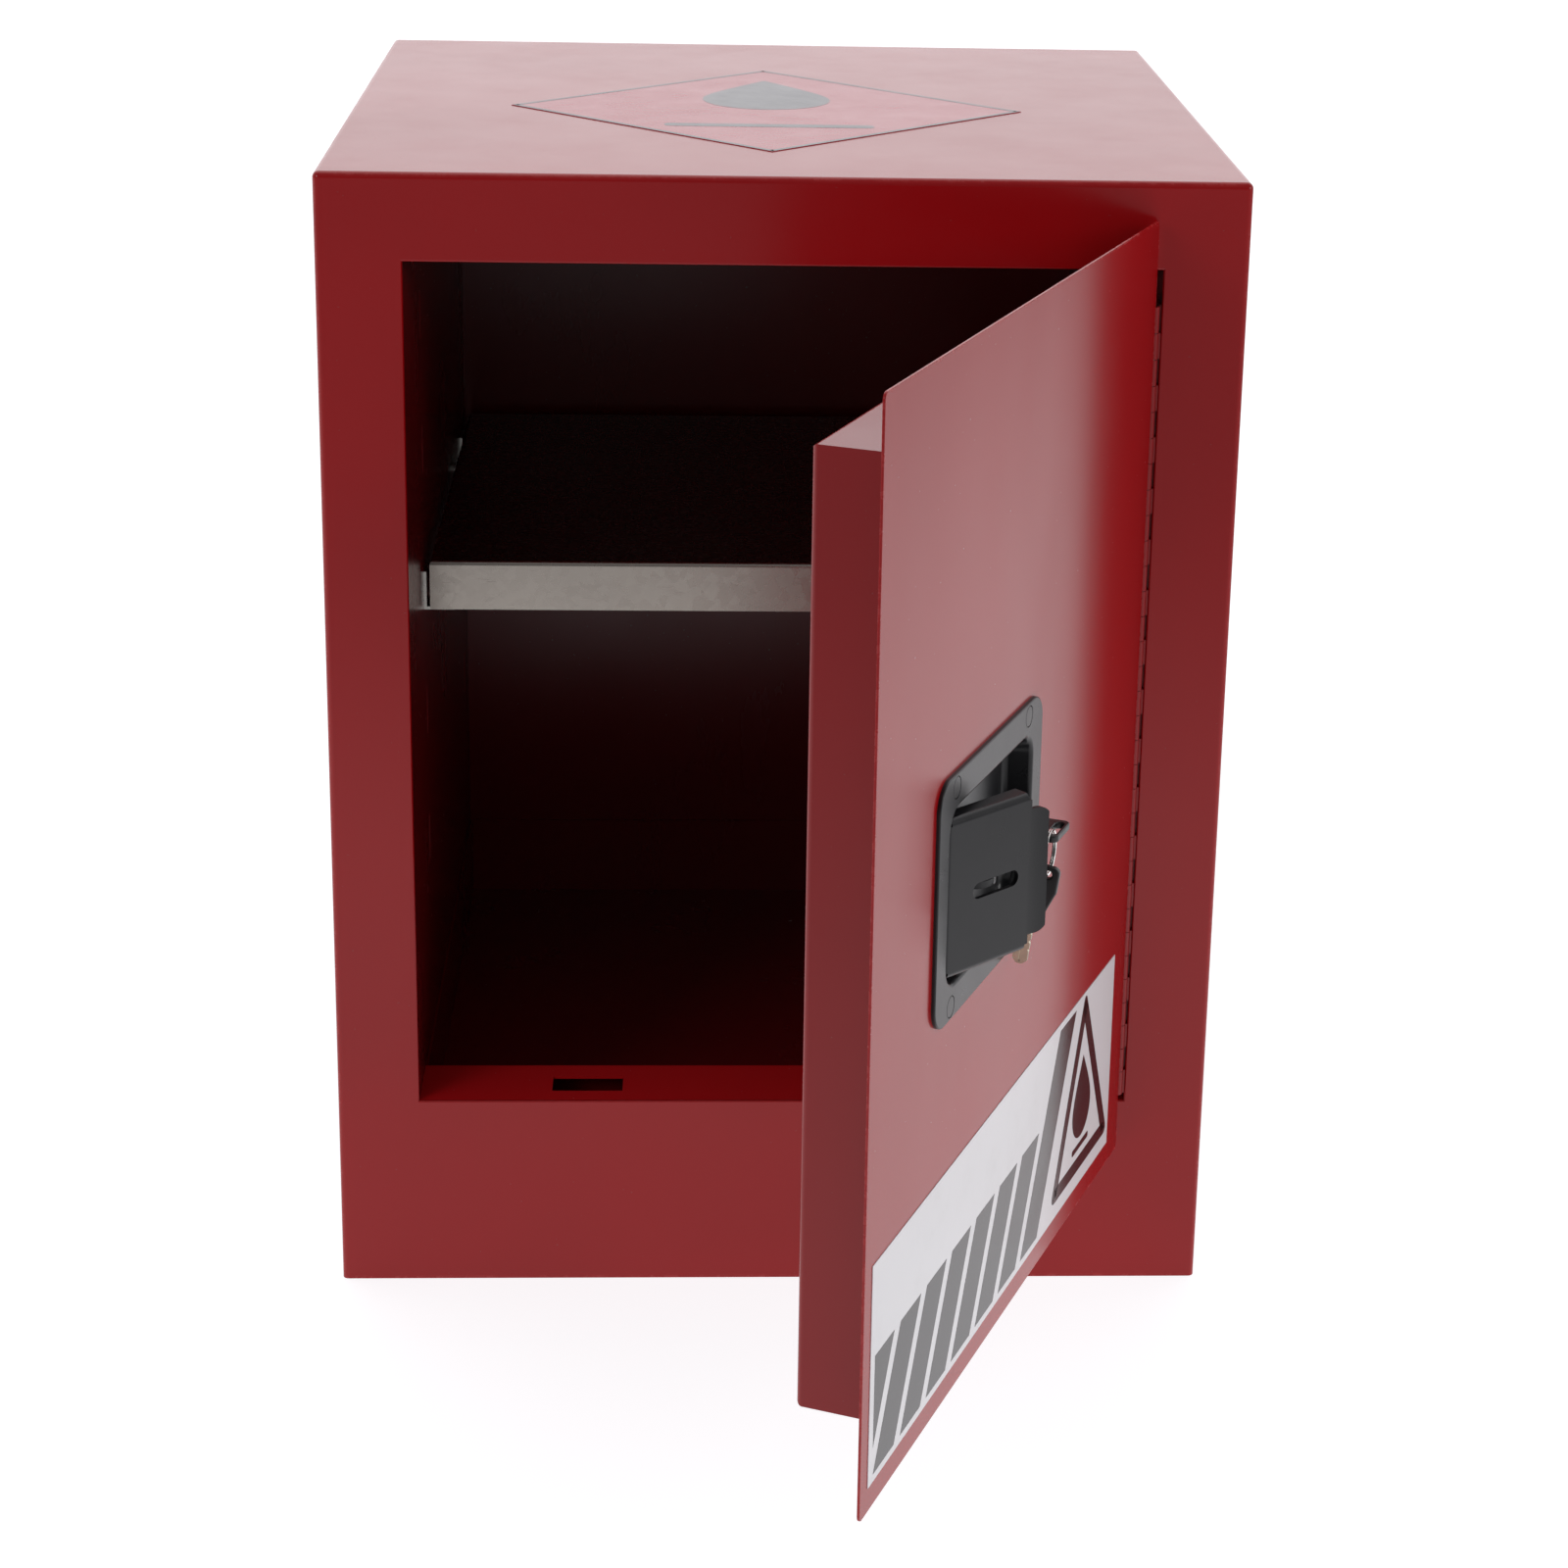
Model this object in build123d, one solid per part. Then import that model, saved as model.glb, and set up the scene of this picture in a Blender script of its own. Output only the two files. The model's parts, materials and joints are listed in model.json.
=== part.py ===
from build123d import *
import math
import os

# Flammable storage cabinet: double-walled steel box with a spill sump, one hinged door with a
# three-point paddle latch, a keyed lock with a spare key on a split ring, and a lift-out shelf.
# Frame: origin at the centre of the base underside, +X right, +Y back, +Z up, front face at -Y.
# Door pieces are drawn in door coordinates: u runs from the hinge pin to the free edge, v runs
# from the front-face plane into the cabinet, z is height.  hang() turns them to the rest pose.

# ---------------------------------------------------------------- cabinet body
cabinet_width = 430.0
cabinet_depth = 430.0
cabinet_height = 560.0
sheet = 1.2                  # wall of every folded steel sheet
bend_radius = 3.0            # outside radius of the folds
frame_side = 40.0            # face border beside the opening
frame_top = 41.0             # face border above the opening
sill_height = 98.0           # face below the opening, also the depth of the spill guard
back_space = 40.0            # air gap between inner and outer back
sill_depth = 41.0
sump_floor = 53.0            # inside floor of the spill sump
base_flange = 15.0
opening_edge_radius = 1.0

front_y = -cabinet_depth / 2
inner_half_width = cabinet_width / 2 - frame_side
inner_top = cabinet_height - frame_top
inner_back_y = cabinet_depth / 2 - back_space
face_inside_y = front_y + sheet
sill_back_y = front_y + sill_depth

# ---------------------------------------------------------------- shelf and its clips
shelf_top = 353.0
shelf_lip = 25.0
shelf_side_gap = 3.5
shelf_front_inset = 79.0     # from the front face
shelf_back_gap = 10.0
slot_width = 5.0
slot_height = 25.0
slot_pitch = 68.0
slots_below_shelf = 2        # rows below the row that carries the shelf
slots_above_shelf = 2
slot_front_inset = 92.5
slot_back_gap = 32.5         # rear column to the inner back
clip_ledge = 15.0
clip_width = 18.0
clip_sheet = 1.5
clip_gap = 0.3
slot_clearance = 0.3
slot_end_margin = 10.0       # least height between a slot and the inner top
clip_height = 18.0           # above the ledge
ledge_drop = 1.5             # ledge underside to the foot of the slot

# ---------------------------------------------------------------- hinge
pin_inset = 3.5              # hinge pin axis to the edge of the opening
knuckle_radius = 2.5
knuckle_length = 12.5
knuckle_gap = 0.3
hinge_bottom_gap = 4.0       # sill to the lower end of the hinge
hinge_top_gap = 10.0         # least gap between the hinge and the head of the opening
pin_radius = 1.45
pin_clearance = 0.05
leaf_thickness = 1.0
leaf_width = 25.0
leaf_notch = 3.0             # depth of the notches that clear the other leaf's knuckles

# ---------------------------------------------------------------- door
door_rest_angle = 67.0       # opened from closed
door_overlap = 24.0          # skin over the face border, top, bottom and free side
door_seal_gap = 0.3
skin_hinge_gap = 3.0
skin_corner_radius = 3.0
pan_depth = 38.0
pan_clearance = 6.0          # pan to the opening, top and bottom
pan_free_clearance = 4.5     # pan to the opening on the free side
stiffener_rise = 58.0        # lower end of the pan to the stiffener's centre line
stiffener_height = 30.0
stiffener_depth = 12.0
stiffener_foot = 12.0
stiffener_end_gap = 12.0     # to the sides of the pan

# ---------------------------------------------------------------- latch dish and paddle
latch_free_inset = 139.0     # free edge of the skin to the dish centre
latch_rise = 3.5             # dish centre above the middle of the pan
dish_flange_side = 13.25     # flange beside the mouth
dish_flange_end = 15.0       # flange above and below the mouth
dish_flange_thickness = 1.8
dish_flange_radius = 12.0
dish_mouth_width = 108.0
dish_mouth_height = 78.0
dish_mouth_radius = 11.0
dish_depth = 12.3            # flange face to dish floor
dish_wall = 1.4
dish_taper = 8.0             # degrees
dish_mouth_round = 1.2
dish_cut_clearance = 0.5
rivet_inset_u = 6.5          # rivet to the side of the mouth, inward
rivet_offset_z = 9.0         # rivet to the end of the mouth, outward
rivet_head_radius = 4.6
rivet_shank_radius = 2.0
rivet_head_height = 1.0
rivet_tail = 2.5

paddle_rest_angle = 25.0     # raised from closed
paddle_edge_gap = 5.2        # paddle pivot axis to the dish mouth edge
paddle_side_gap = 4.0        # long edge of the paddle to the mouth
paddle_flat = 46.0
paddle_lip = 11.0
paddle_lip_height = 56.0
paddle_thickness = 2.2
paddle_flange = 8.5
paddle_face_offset = 5.0     # pivot axis to the outer face
paddle_barrel_radius = 3.6
paddle_barrel_length = 9.0
paddle_barrel_inset = 4.0    # barrel end to the long edge of the paddle
paddle_pivot_corner = 4.0
paddle_pin_radius = 2.0
paddle_pin_clearance = 0.06
paddle_slot_length = 27.0
paddle_slot_height = 7.0
paddle_slot_start = 13.5
paddle_arm_thickness = 3.0
paddle_arm_width = 5.0
paddle_arm_back = 2.0        # part of that width on the paddle's side of the pivot
paddle_arm_clearance = 1.0   # arm to the slot in the dish floor
paddle_arm_rise = 7.5        # above the latch centre
paddle_arm_reach = 11.5      # pivot axis to arm tip

tab_radius = 11.0
tab_thickness = 3.0
tab_height = 9.0             # tab tip above the flange face
tab_hole_radius = 3.5

# ---------------------------------------------------------------- bolt work behind the dish
bolt_offset = 32.5           # dish centre to the rods, toward the free edge
bolt_stand_off = 1.0         # strap to the rod's centre line
bolt_radius = 5.0
bolt_tip_chamfer = 1.5
bolt_length = 26.0
rod_radius = 4.0
bolt_hole_clearance = 0.4
bolt_engagement = 11.0       # bolt below the sill, or above the head, when closed
bolt_rest_retract = 12.0     # travel from closed to rest
bolt_slot_length = 35.0
bolt_slot_width = 16.4
bolts_travel_closed_to_open = 16.8
paddle_travel_closed_to_open = 35.0

rocker_offset = 41.5         # dish centre to the rocker, toward the free edge
rocker_pin_reach = 18.0
rocker_thickness = 2.0
rocker_gap = 3.2             # back of the dish floor to the rocker
rocker_hub_radius = 9.0
rocker_arm_radius = 5.0
rocker_pin_radius = 2.5
rocker_pin_slot_clearance = 0.4
rocker_finger_radius = 1.5
rocker_finger_reach = 7.5
rocker_post_radius = 3.0
post_clearance = 0.06
strap_width = 11.0
strap_thickness = 2.5
strap_gap = 0.6              # rocker plate to strap
strap_reach = 30.0           # strap end to latch centre, measured to the rod end

guide_inset = 90.0           # ends of the pan to the rod guides
guide_width = 24.0
guide_thickness = 3.0
guide_foot = 14.0
guide_rivet_radius = 1.6
guide_rivet_offset = 7.0     # either side of the rod
guide_rivet_rise = 9.0

# ---------------------------------------------------------------- lock, keys and ring
lock_offset = 41.5           # dish centre to the lock, toward the hinge
lock_housing_radius = 7.5
lock_flange_radius = 9.0
lock_flange_thickness = 1.5
lock_front_rise = 5.0        # lock face above the dish floor
fixed_clearance = 0.02       # hole to a shank that is clamped or riveted in it
lock_length = 21.0
plug_radius = 5.0
plug_clearance = 0.06
lock_nut_width = 20.0
lock_nut_thickness = 3.0
cam_length = 20.0
cam_width = 10.0
cam_thickness = 2.0

bow_width = 21.0
bow_height = 23.5
bow_thickness = 3.2
bow_foot_width = 13.0
bow_taper_start = 11.5       # from the outer end of the bow
bow_corner_radius = 3.0
bow_edge_radius = 0.7
key_stand_off = 3.0          # foot of the bow to the lock face
bow_slot_length = 14.5
bow_slot_width = 3.8
bow_slot_inset = 3.6         # outer end of the bow to the slot's centre line
blade_length = 24.0
blade_width = 6.6
blade_thickness = 2.0
blade_tang = 8.0             # part of the blade inside the bow
tang_clearance = 0.02
keyway_clearance = 0.1
groove_width = 0.9
groove_depth = 0.5
bitting_depth = 1.2

ring_inner_radius = 9.0
ring_radial = 1.3
ring_axial = 2.6
ring_twist = 3.0             # ring plane turned from the door plane
ring_hang_gap = 0.9          # bow strip to ring, so that the ring turns freely
spare_tilt = -8.0            # spare key from hanging straight; negative leans to the door

# ---------------------------------------------------------------- labels, earth stud
label_thickness = 0.3
door_label_free_inset = 8.5
door_label_hinge_inset = 19.5
door_label_height = 100.5
door_label_rise = 11.5       # lower edge of the skin to the label
top_label_side = 184.0
top_label_x = -5.0
top_label_y = -17.0
stud_x = -150.0
stud_z = 60.0
stud_radius = 5.0            # fixing end, through the back and the nut
stud_free_radius = 4.0       # terminal end beyond the nut
stud_length = 24.0
stud_head_thickness = 4.0
stud_head_radius = 8.0
nut_across_flats = 16.0
nut_thickness = 6.5
washer_radius = 10.0
washer_thickness = 1.6
thread_clearance = 0.05

# ---------------------------------------------------------------- derived places
pin_x = inner_half_width - pin_inset
skin_outer_v = -door_seal_gap - sheet
skin_free_u = pin_x + inner_half_width + door_overlap
skin_bottom = sill_height - door_overlap
skin_top = inner_top + door_overlap
pan_bottom = sill_height + pan_clearance
pan_top = inner_top - pan_clearance
pan_hinge_u = pin_inset
pan_free_u = pin_x + inner_half_width - pan_free_clearance
pan_inside_v = pan_depth - sheet
latch_u = skin_free_u - latch_free_inset
latch_z = (pan_bottom + pan_top) / 2 + latch_rise
dish_face_v = skin_outer_v - dish_flange_thickness
dish_floor_v = dish_face_v + dish_depth
paddle_pivot_u = latch_u + dish_mouth_width / 2 - paddle_edge_gap
paddle_pivot_v = dish_face_v + paddle_face_offset
rocker_u = latch_u + rocker_offset
rocker_v = dish_floor_v + dish_wall + rocker_gap
strap_v = rocker_v + rocker_thickness + strap_gap
bolt_u = latch_u + bolt_offset
bolt_v = strap_v + strap_thickness + bolt_stand_off
lock_u = latch_u - lock_offset
dish_flange_width = dish_mouth_width + 2 * dish_flange_side
dish_flange_height = dish_mouth_height + 2 * dish_flange_end
rivet_spacing_u = dish_mouth_width - 2 * rivet_inset_u
rivet_spacing_z = dish_mouth_height + 2 * rivet_offset_z
paddle_height = dish_mouth_height - 2 * paddle_side_gap
hinge_bottom = sill_height + hinge_bottom_gap
knuckle_count = int((inner_top - hinge_bottom - hinge_top_gap) // knuckle_length)
hinge_top = hinge_bottom + knuckle_count * knuckle_length
rocker_half_swing = math.degrees(math.asin(bolts_travel_closed_to_open / 2 / rocker_pin_reach))
rocker_rest = rocker_half_swing * (2 * paddle_rest_angle / paddle_travel_closed_to_open - 1)
lower_tip_z = sill_height - bolt_engagement + bolt_rest_retract
upper_tip_z = inner_top + bolt_engagement - bolt_rest_retract
lock_face_v = dish_floor_v - lock_front_rise
bow_outer_v = lock_face_v - key_stand_off - bow_height
ring_hang_u = lock_u + bow_slot_length / 2 + (bow_width - bow_slot_length) / 4
ring_hang_v = bow_outer_v + bow_slot_inset
ring_centre_z = latch_z + bow_thickness / 2 + ring_hang_gap - ring_inner_radius

door_place = Pos(pin_x, front_y, 0) * Rot(0, 0, door_rest_angle)
paddle_place = door_place * Pos(-paddle_pivot_u, paddle_pivot_v, latch_z) * Rot(0, 0, -paddle_rest_angle)
rocker_place = door_place * Pos(-rocker_u, 0, latch_z) * Rot(0, rocker_rest, 0)
lock_place = door_place * Pos(-lock_u, 0, latch_z)
ring_place = door_place * Pos(-ring_hang_u, ring_hang_v, ring_centre_z) * Rot(0, 0, ring_twist)


def block(x0, x1, y0, y1, z0, z1):
    """Box between two corners."""
    centre = Pos((x0 + x1) / 2, (y0 + y1) / 2, (z0 + z1) / 2)
    return centre * Box(abs(x1 - x0), abs(y1 - y0), abs(z1 - z0))


def door_block(u0, u1, v0, v1, z0, z1):
    """Box between two corners given in door coordinates."""
    return block(-u1, -u0, v0, v1, z0, z1)


def rod_z(radius, x, y, z0, z1):
    """Upright cylinder."""
    return Pos(x, y, (z0 + z1) / 2) * Cylinder(radius, z1 - z0)


def rod_y(radius, x, z, y0, y1):
    """Cylinder along Y."""
    return Pos(x, (y0 + y1) / 2, z) * Rot(90, 0, 0) * Cylinder(radius, abs(y1 - y0))


def face_plate(width, height, radius, y0, y1, x=0.0, z=0.0):
    """Rounded rectangle in the XZ plane, y0 to y1 thick."""
    outline = Plane.XZ.offset(-y0) * RectangleRounded(width, height, radius)
    return Pos(x, 0, z) * extrude(outline, amount=-(y1 - y0))


def outer_shell():
    """Folded and welded outer skin: sides, top and the face border, open below and behind."""
    skin = block(-cabinet_width / 2, cabinet_width / 2, front_y, -front_y, 0, cabinet_height)
    folds = skin.edges().filter_by(Axis.Z).group_by(Axis.Y)[0]
    folds += skin.edges().group_by(Axis.Z)[-1].filter_by(Axis.Y)
    folds += skin.edges().group_by(Axis.Z)[-1].filter_by(Axis.X).group_by(Axis.Y)[0]
    skin = fillet(folds, bend_radius)
    half = cabinet_width / 2 - sheet
    skin -= block(-half, half, face_inside_y, -front_y + 1, -1, cabinet_height - sheet)
    skin -= block(-inner_half_width, inner_half_width, front_y - 1, face_inside_y + 1,
                  sill_height, inner_top)
    edges = skin.edges().filter_by_position(Axis.Y, front_y - 0.01, front_y + 0.01)
    edges = edges.filter_by_position(Axis.X, -inner_half_width - 1, inner_half_width + 1)
    edges = edges.filter_by_position(Axis.Z, sill_height - 1, inner_top + 1)
    return fillet(edges, opening_edge_radius)


def rear_panel():
    """Outer back sheet with flanges turned forward at the sides and the top."""
    half = cabinet_width / 2 - sheet
    top = cabinet_height - sheet
    back = -front_y
    panel = block(-half, half, back - base_flange, back, 0, top)
    panel -= block(-half + sheet, half - sheet, back - base_flange - 1, back - sheet, -1, top - sheet)
    panel -= block(-half - 1, half + 1, back - base_flange - 1, back - sheet, -1, 1.5 * base_flange)
    hole = rod_y(stud_radius + thread_clearance, stud_x, stud_z, back - 5, back + 5)
    return panel - hole


def base_panel():
    """Bottom sheet, a shallow tray with its flanges turned up."""
    half = cabinet_width / 2 - sheet
    back = -front_y - sheet
    tray = block(-half, half, face_inside_y, back, 0, base_flange)
    return tray - block(-half + sheet, half - sheet, face_inside_y + sheet, back - sheet, sheet, base_flange + 1)


def tray_bearers():
    """Two hat channels that carry the sump tray on the base sheet."""
    top = sump_floor - sheet
    bearers = []
    for x in (-inner_half_width / 2, inner_half_width / 2):
        y0, y1 = sill_back_y + 20, inner_back_y - 20
        hat = block(x - 20, x + 20, y0, y1, sheet, top)
        hat -= block(x - 20 + sheet, x + 20 - sheet, y0 - 1, y1 + 1, 0, top - sheet)
        feet = block(x - 35, x + 35, y0, y1, sheet, 2 * sheet)
        feet -= block(x - 20, x + 20, y0 - 1, y1 + 1, 0, 3 * sheet)
        bearers.append(hat + feet)
    return Compound(children=bearers)


def slot_heights():
    """Lower ends of the shelf-clip slots, from the lowest row up."""
    carrying = shelf_top - shelf_lip - clip_sheet - ledge_drop
    rows = range(-slots_below_shelf, slots_above_shelf + 1)
    heights = [carrying + row * slot_pitch for row in rows]
    return [z for z in heights if sill_height < z < inner_top - slot_height - slot_end_margin]


def slot_lines():
    """Y places of the two columns of slots."""
    return (front_y + slot_front_inset, inner_back_y - slot_back_gap)


def inner_liner():
    """Inner sides and top, flush with the opening, with clip slots and the upper bolt slot."""
    half = inner_half_width + sheet
    liner = block(-half, half, face_inside_y, inner_back_y, sump_floor - sheet, inner_top + sheet)
    liner -= block(-inner_half_width, inner_half_width, face_inside_y - 1, inner_back_y + 1, 0, inner_top)
    for y in slot_lines():
        for z in slot_heights():
            liner -= block(-half - 1, half + 1, y - slot_width / 2, y + slot_width / 2, z, z + slot_height)
    x = pin_x - bolt_u
    y = front_y + bolt_v
    slot = extrude(Pos(x, y, inner_top - 2) * Rectangle(bolt_slot_length, bolt_slot_width), amount=6)
    return liner - slot


def inner_back():
    """Inner back sheet."""
    half = inner_half_width + sheet
    return block(-half, half, inner_back_y, inner_back_y + sheet, sump_floor - sheet, inner_top + sheet)


def sump_tray():
    """Leak-tight tray below the sill, standing inside the liner."""
    half = inner_half_width - 0.1
    back = inner_back_y - 0.1
    y0 = sill_back_y - sheet
    tray = block(-half, half, y0, back, sump_floor - sheet, sill_height)
    tray -= block(-half + sheet, half - sheet, sill_back_y, back - sheet, sump_floor, sill_height + 1)
    tray -= block(-half - 1, half + 1, y0 - 1, sill_back_y, sill_height - sheet, sill_height + 1)
    return tray


def sill_plate():
    """Flat sill behind the lower edge of the opening, with the slot for the lower bolt."""
    half = inner_half_width
    plate = block(-half, half, face_inside_y, sill_back_y, sill_height - sheet, sill_height)
    x = pin_x - bolt_u
    y = front_y + bolt_v
    slot = Pos(x, y, sill_height - 3) * Rectangle(bolt_slot_length, bolt_slot_width)
    return plate - extrude(slot, amount=6)


def shelf_clips():
    """Four clips hooked into the liner slots; the shelf flanges stand on their ledges."""
    top = shelf_top - shelf_lip
    clips = []
    for side in (-1, 1):
        for y in slot_lines():
            wall = inner_half_width
            x0 = wall - clip_sheet
            plate = block(x0, wall - 0.05, y - clip_width / 2, y + clip_width / 2, top - clip_sheet,
                          top + clip_height)
            ledge = block(wall - clip_ledge, x0 + 0.5, y - clip_width / 2, y + clip_width / 2,
                          top - clip_sheet, top)
            hook_half = slot_width / 2 - slot_clearance
            hook = block(x0, wall + sheet + 3, y - hook_half, y + hook_half, top + 1, top + 12)
            hook -= block(wall - 0.05, wall + sheet + 0.3, y - 5, y + 5, top - 2, top + 3)
            clip = plate + ledge + hook
            if side < 0:
                clip = mirror(clip, about=Plane.YZ)
            clips.append(clip)
    return Compound(children=clips)


def shelf():
    """Lift-out shelf: a sheet with its four edges turned down."""
    half = inner_half_width - shelf_side_gap
    y0 = front_y + shelf_front_inset
    y1 = inner_back_y - shelf_back_gap
    tray = block(-half, half, y0, y1, shelf_top - shelf_lip, shelf_top)
    rim = tray.edges().group_by(Axis.Z)[-1]
    tray = fillet(rim, 2 * sheet)
    inside = block(-half + sheet, half - sheet, y0 + sheet, y1 - sheet, shelf_top - shelf_lip - 1,
                   shelf_top - sheet)
    return tray - inside


def knuckle_spans(first):
    """Height ranges of every second knuckle, starting with knuckle number first."""
    spans = []
    for index in range(first, knuckle_count, 2):
        z = hinge_bottom + index * knuckle_length
        spans.append((z, z + knuckle_length))
    return spans


def hinge_leaf(first_notch):
    """Leaf on the +X side of the pin, with notches where the other leaf's knuckles turn."""
    tube = rod_z(knuckle_radius, 0, 0, hinge_bottom, hinge_top)
    neck = block(0.5, pin_inset, 0.5, knuckle_radius, hinge_bottom, hinge_top)
    plate = block(pin_inset - leaf_thickness, pin_inset, 0.5, leaf_width, hinge_bottom, hinge_top)
    leaf = tube + neck + plate
    leaf -= rod_z(pin_radius + pin_clearance, 0, 0, hinge_bottom - 1, hinge_top + 1)
    half_gap = knuckle_gap / 2
    for z0, z1 in knuckle_spans(first_notch):
        leaf -= block(-4, 4, -4, leaf_notch, z0 - half_gap, z1 + half_gap)
    return leaf


def hinge_frame_leaf():
    """Hinge leaf on the right jamb."""
    return Pos(pin_x, front_y, 0) * hinge_leaf(1)


def hinge_door_leaf():
    """Hinge leaf on the hinge side of the door pan."""
    return door_place * mirror(hinge_leaf(0), about=Plane.YZ)


def hinge_pin():
    """Pin through all knuckles, flush with the ends of the hinge."""
    return Pos(pin_x, front_y, 0) * rod_z(pin_radius, 0, 0, hinge_bottom, hinge_top)


def dish_prism(width, height, radius, v0, v1, taper):
    """Tapered rounded block around the latch centre."""
    outline = Plane.XZ.offset(-v0) * RectangleRounded(width, height, radius)
    body = extrude(outline, amount=-(v1 - v0), taper=taper)
    return Pos(-latch_u, 0, latch_z) * body


def door_skin():
    """Outer sheet of the door, overlapping the face border, cut out for the latch dish."""
    width = skin_free_u - skin_hinge_gap
    height = skin_top - skin_bottom
    plate = face_plate(width, height, skin_corner_radius, skin_outer_v, -door_seal_gap,
                       -(skin_free_u + skin_hinge_gap) / 2, (skin_top + skin_bottom) / 2)
    wide = dish_mouth_width + 2 * dish_wall + 2 * dish_cut_clearance
    high = dish_mouth_height + 2 * dish_wall + 2 * dish_cut_clearance
    cut = face_plate(wide, high, dish_mouth_radius + dish_wall, skin_outer_v - 1, 1, -latch_u, latch_z)
    plate -= cut
    for x, z in rivet_places():
        plate -= rod_y(rivet_shank_radius + fixed_clearance, x, z, skin_outer_v - 1, 1)
    return door_place * plate


def door_pan():
    """Inner door shell: a deep tray closed by the skin, with holes for the two bolts."""
    pan = door_block(pan_hinge_u, pan_free_u, -door_seal_gap, pan_depth, pan_bottom, pan_top)
    rim = pan.edges().group_by(Axis.Y)[-1]
    pan = fillet(rim, bend_radius)
    pan -= door_block(pan_hinge_u + sheet, pan_free_u - sheet, -door_seal_gap - 1, pan_inside_v,
                      pan_bottom + sheet, pan_top - sheet)
    hole = rod_z(bolt_radius + bolt_hole_clearance, -bolt_u, bolt_v, pan_bottom - 5, pan_top + 5)
    return door_place * (pan - hole)


def door_stiffener():
    """Hat section across the inside of the door, below the latch; clear of the lower rod."""
    z = pan_bottom + stiffener_rise
    u0, u1 = pan_hinge_u + stiffener_end_gap, pan_free_u - stiffener_end_gap
    v1 = pan_inside_v
    v0 = v1 - stiffener_depth
    half = stiffener_height / 2
    hat = door_block(u0, u1, v0, v1, z - half, z + half)
    hat -= door_block(u0 - 1, u1 + 1, v0 + sheet, v1 + 1, z - half + sheet, z + half - sheet)
    feet = door_block(u0, u1, v1 - sheet, v1, z - half - stiffener_foot,
                      z + half + stiffener_foot)
    feet -= door_block(u0 - 1, u1 + 1, v1 - 2 * sheet, v1 + 1, z - half, z + half)
    rod_way = rod_z(rod_radius + bolt_hole_clearance, -bolt_u, bolt_v, pan_bottom, latch_z)
    return door_place * (hat + feet - rod_way)


def door_label():
    """Self-adhesive panel low on the door."""
    u0 = skin_hinge_gap + door_label_hinge_inset
    u1 = skin_free_u - door_label_free_inset
    z0 = skin_bottom + door_label_rise
    return door_place * door_block(u0, u1, skin_outer_v - label_thickness, skin_outer_v,
                                   z0, z0 + door_label_height)


def top_label():
    """Self-adhesive diamond on the top."""
    diamond = Box(top_label_side, top_label_side, label_thickness)
    return Pos(top_label_x, top_label_y, cabinet_height + label_thickness / 2) * Rot(0, 0, 45) * diamond


def rivet_places():
    """Door X and Z of the four dish rivets."""
    return [(-latch_u + i * rivet_spacing_u / 2, latch_z + j * rivet_spacing_z / 2)
            for i in (-1, 1) for j in (-1, 1)]


def latch_dish():
    """Pressed dish with a raised flange; its floor is cut for the lock and the paddle arm."""
    flange = face_plate(dish_flange_width, dish_flange_height, dish_flange_radius, dish_face_v,
                        skin_outer_v, -latch_u, latch_z)
    rim = flange.edges().group_by(Axis.Y)[0]
    flange = fillet(rim, 0.8)
    outer = dish_prism(dish_mouth_width + 2 * dish_wall, dish_mouth_height + 2 * dish_wall,
                       dish_mouth_radius + dish_wall, skin_outer_v, dish_floor_v + dish_wall, dish_taper)
    dish = flange + outer
    dish -= dish_prism(dish_mouth_width, dish_mouth_height, dish_mouth_radius, dish_face_v, dish_floor_v,
                       dish_taper)
    mouth = dish.edges().filter_by_position(Axis.Y, dish_face_v - 0.01, dish_face_v + 0.01)
    mouth = mouth.filter_by_position(Axis.X, -latch_u - dish_mouth_width / 2 - 0.1,
                                     -latch_u + dish_mouth_width / 2 + 0.1)
    mouth = mouth.filter_by_position(Axis.Z, latch_z - dish_mouth_height / 2 - 0.1,
                                     latch_z + dish_mouth_height / 2 + 0.1)
    dish = fillet(mouth, dish_mouth_round)
    for x, z in rivet_places():
        dish -= rod_y(rivet_shank_radius + fixed_clearance, x, z, dish_face_v - 1, 2)
        dish -= rod_y(rivet_head_radius + fixed_clearance, x, z, dish_face_v - 1, dish_face_v + rivet_head_height)
    dish -= rod_z(paddle_pin_radius + fixed_clearance, -paddle_pivot_u, paddle_pivot_v,
                  latch_z - dish_mouth_height, latch_z + dish_mouth_height)
    dish -= rod_y(lock_housing_radius + fixed_clearance, -lock_u, latch_z, dish_floor_v - 1, dish_floor_v + 5)
    dish -= rod_y(rocker_post_radius + fixed_clearance, -rocker_u, latch_z, dish_floor_v - 1, dish_floor_v + 5)
    z = latch_z + paddle_arm_rise
    half = paddle_arm_thickness / 2 + paddle_arm_clearance
    u0 = paddle_pivot_u - paddle_arm_reach - paddle_arm_clearance
    u1 = paddle_pivot_u + paddle_arm_width - paddle_arm_back + paddle_arm_clearance
    dish -= door_block(u0, u1, dish_floor_v - 2, dish_floor_v + 5, z - half, z + half)
    return door_place * dish


def dish_rivets():
    """Four flush rivets that hold the dish to the door skin."""
    rivets = []
    for x, z in rivet_places():
        head = rod_y(rivet_head_radius, x, z, dish_face_v, dish_face_v + rivet_head_height)
        shank = rod_y(rivet_shank_radius, x, z, dish_face_v, -door_seal_gap)
        tail = rod_y(rivet_shank_radius + 1.5, x, z, -door_seal_gap, -door_seal_gap + rivet_tail)
        rivets.append(door_place * (head + shank + tail))
    return Compound(children=rivets)


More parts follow.
